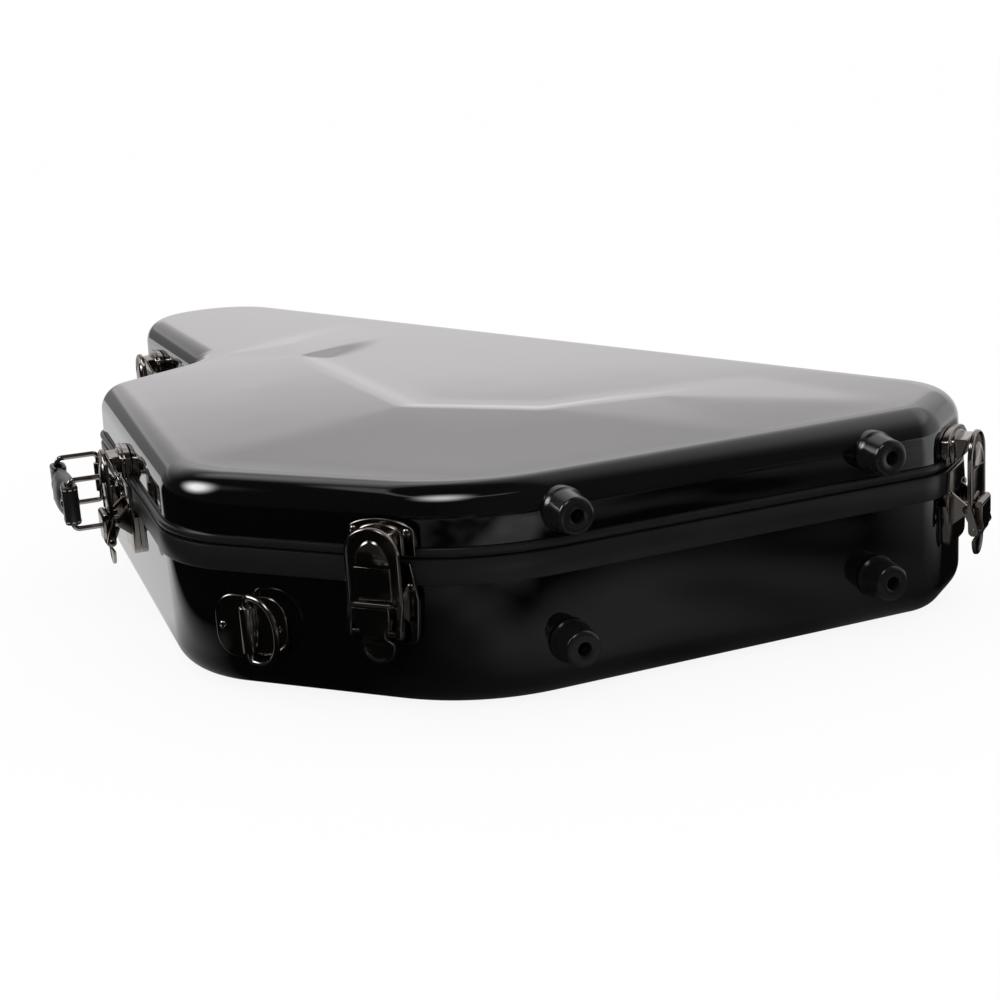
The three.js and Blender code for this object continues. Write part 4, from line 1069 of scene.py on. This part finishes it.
# stage, light and camera
stage = {
    "floorSize": 12.0, "ground": -0.0003, "floorColour": (0.8, 0.8, 0.8),
    "seenWhite": 1.04, "shadowShare": 0.14,
    # floor as gloss sees it: the sweep's front and side edges, then what lies in the dark part
    "sweepFront": (0.31, -0.45, -0.31, -0.25), "sweepSide": (0.3, -0.2, -0.02), "sweepFloor": 0.6,
    "patchScale": 3.2, "patchEdges": (0.45, 0.7), "patchFloor": ((("X", 0.22, 0.4),), 0.14),
    "cornerEdges": (0.2, 0.02, 0.2), "cornerReach": (0.45, 0.75), "rightFloor": 0.7,
    "keyFloor": ((("X", 0.5, 0.6), ("X", 1.0, 0.9), ("Y", -0.5, -0.42), ("Y", -0.16, -0.24)), 0.25),
    "floorDark": 0.004,
    # sky as gloss sees it: a sweep over one side, its levels over the sine of height, then patches
    "diffuseSky": 0.95, "sweepWay": (-0.7, 0.71), "sweepEdges": (0.5, 1.0), "studioDark": 0.02,
    "skyStops": (
        (0.0, 0.8), (0.12, 0.84), (0.16, 0.88), (0.2, 0.93), (0.215, 0.82), (0.245, 0.69), (0.27, 0.63),
        (0.3, 0.73), (0.44, 0.98), (0.55, 0.6), (0.62, 0.3), (0.72, 0.15), (0.9, 0.03), (1.0, 0.02)),
    "lowDim": ((("Y", 0.5, 0.42), ("Z", 0.19, 0.16)), 0.5),
    "glows": (
        ((("Y", 0.28, 0.62), ("Z", 0.5, 0.62)), 0.36),  # high at the back
        ((("Z", 0.855, 0.87), ("Z", 0.9, 0.885), ("Y", 0.0, -0.15)), 0.45),  # thin strip over the front
        ((("X", -0.45, -0.58), ("Y", -0.12, 0.12), ("Z", 0.6, 0.72)), 0.6)),  # high at the left
    "glints": (((-0.66, -0.55, 0.52), 0.93, 7.0), ((0.14, -0.46, 0.877), 0.95, 5.0)),
    "rightWay": (0.92, 0.39), "rightReach": (0.0, 0.5), "rightEdges": (0.2, 0.65), "rightSky": (0.02, 0.45),
    "warmth": (1.0, 0.975, 0.985),
    "softbox": {"place": (-0.72, -0.62, 1.75), "target": (0.0, -0.1, 0.1), "size": (0.9, 0.5), "power": 2.2},
}


def glow(axes, edges, level):
    # a soft patch: it fades in between two limits on each axis that is named
    patch = level
    for axis, low, high in edges:
        patch = axes[axis].between(low, high) * patch
    return patch


def makeFloor():
    mesh = bpy.data.meshes.new("floor")
    half = stage["floorSize"] / 2
    places = [(x * half, y * half, stage["ground"]) for x, y in ((-1, -1), (1, -1), (1, 1), (-1, 1))]
    mesh.from_pydata(places, [], [(0, 1, 2, 3)])
    floor = placed("floor", mesh)
    f = Finish("floor")
    mesh.materials.append(f.material)
    seen = f.node("ShaderNodeLightPath", output="Is Camera Ray")
    gloss = f.node("ShaderNodeLightPath", output="Is Glossy Ray")
    # gloss sees a white sweep to the back and left, and a dark studio to the front and right
    axes = {axis: f.node("ShaderNodeSeparateXYZ", output=axis, Vector=f.places()) for axis in "XY"}
    x, y = axes["X"], axes["Y"]
    tilt, nearest, *front = stage["sweepFront"]
    slant, *side = stage["sweepSide"]
    sweep = (y + x.maths("MAXIMUM", nearest) * tilt).between(*front) * (y * slant - x).between(*side)
    cloud = f.noise(stage["patchScale"], 2.0).between(*stage["patchEdges"])
    patches = cloud * glow(axes, *stage["patchFloor"])
    lean, *corner = stage["cornerEdges"]
    right = x.between(*stage["cornerReach"]) * (y - x * lean).between(*corner) * stage["rightFloor"]
    dark = patches + right + glow(axes, *stage["keyFloor"]) + stage["floorDark"]
    white = f.node("ShaderNodeEmission", Strength=seen * stage["seenWhite"] + gloss * (
        sweep * stage["sweepFloor"] + (1 - sweep) * dark))
    mixer = f.tree.nodes.new("ShaderNodeMixShader")
    plug(f.tree, mixer.inputs[0], seen * (1 - stage["shadowShare"]) + gloss)
    f.tree.links.new(f.shader.outputs[0], mixer.inputs[1])
    plug(f.tree, mixer.inputs[2], white)
    f.tree.links.new(mixer.outputs[0], f.tree.nodes["Material Output"].inputs[0])
    f.surface(Base_Color=stage["floorColour"], Roughness=1.0)


def makeWorld():
    world = bpy.data.worlds.new("studio")
    scene.world = world
    world.use_nodes = True
    w = Nodes(world.node_tree)
    seen = w.node("ShaderNodeLightPath", output="Is Camera Ray")
    gloss = w.node("ShaderNodeLightPath", output="Is Glossy Ray")
    way = w.node("ShaderNodeTexCoord", output="Generated")
    axes = {axis: w.node("ShaderNodeSeparateXYZ", output=axis, Vector=way) for axis in "XYZ"}
    x, y, z = axes.values()
    sweepX, sweepY = stage["sweepWay"]
    flat = (1.0001 - z * z) ** 0.5
    side = ((x * sweepX + y * sweepY) / flat).between(*stage["sweepEdges"]) ** 2.0
    high = w.node("ShaderNodeValToRGB", {"stops": stage["skyStops"]}, Fac=z)
    sky = high * side * (1 - glow(axes, *stage["lowDim"])) + (1 - side) * stage["studioDark"]
    for edges, level in stage["glows"]:
        sky = sky + glow(axes, edges, level)
    for (spotX, spotY, spotZ), edge, level in stage["glints"]:
        sky = sky + (x * spotX + y * spotY + z * spotZ).between(edge, 1.0) ** 3.0 * level
    rightX, rightY = stage["rightWay"]
    base, lean = stage["rightSky"]
    right = (x * rightX + y * rightY).between(*stage["rightReach"])
    sky = sky + right * (y.between(*stage["rightEdges"]) * lean + base)
    background = w.tree.nodes["Background"]
    plug(w.tree, background.inputs["Color"], stage["warmth"])
    plug(w.tree, background.inputs["Strength"],
         seen * stage["seenWhite"] + (1 - seen) * (gloss * sky + (1 - gloss) * stage["diffuseSky"]))


def makeSoftbox():
    softbox = stage["softbox"]
    data = bpy.data.lights.new("softbox", "AREA")
    data.shape = "RECTANGLE"
    data.size, data.size_y = softbox["size"]
    data.energy = softbox["power"]
    light = placed("softbox", data)
    light.location = softbox["place"]
    way = Vector(softbox["target"]) - light.location
    light.rotation_euler = way.to_track_quat("-Z", "Y").to_euler()
    light.visible_glossy = False


view = {
    "place": (1.0959, -0.9190, 0.4389), "turn": (74.574, 3.709, 44.229),
    "focal": 68.4, "sensor": 36.0,
}


def makeCamera():
    data = bpy.data.cameras.new("view")
    data.sensor_width = view["sensor"]
    data.lens = view["focal"]
    camera = placed("view", data)
    camera.location = view["place"]
    camera.rotation_euler = [radians(angle) for angle in view["turn"]]
    scene.camera = camera


makeFloor()
makeWorld()
makeSoftbox()
makeCamera()
print("stage made")
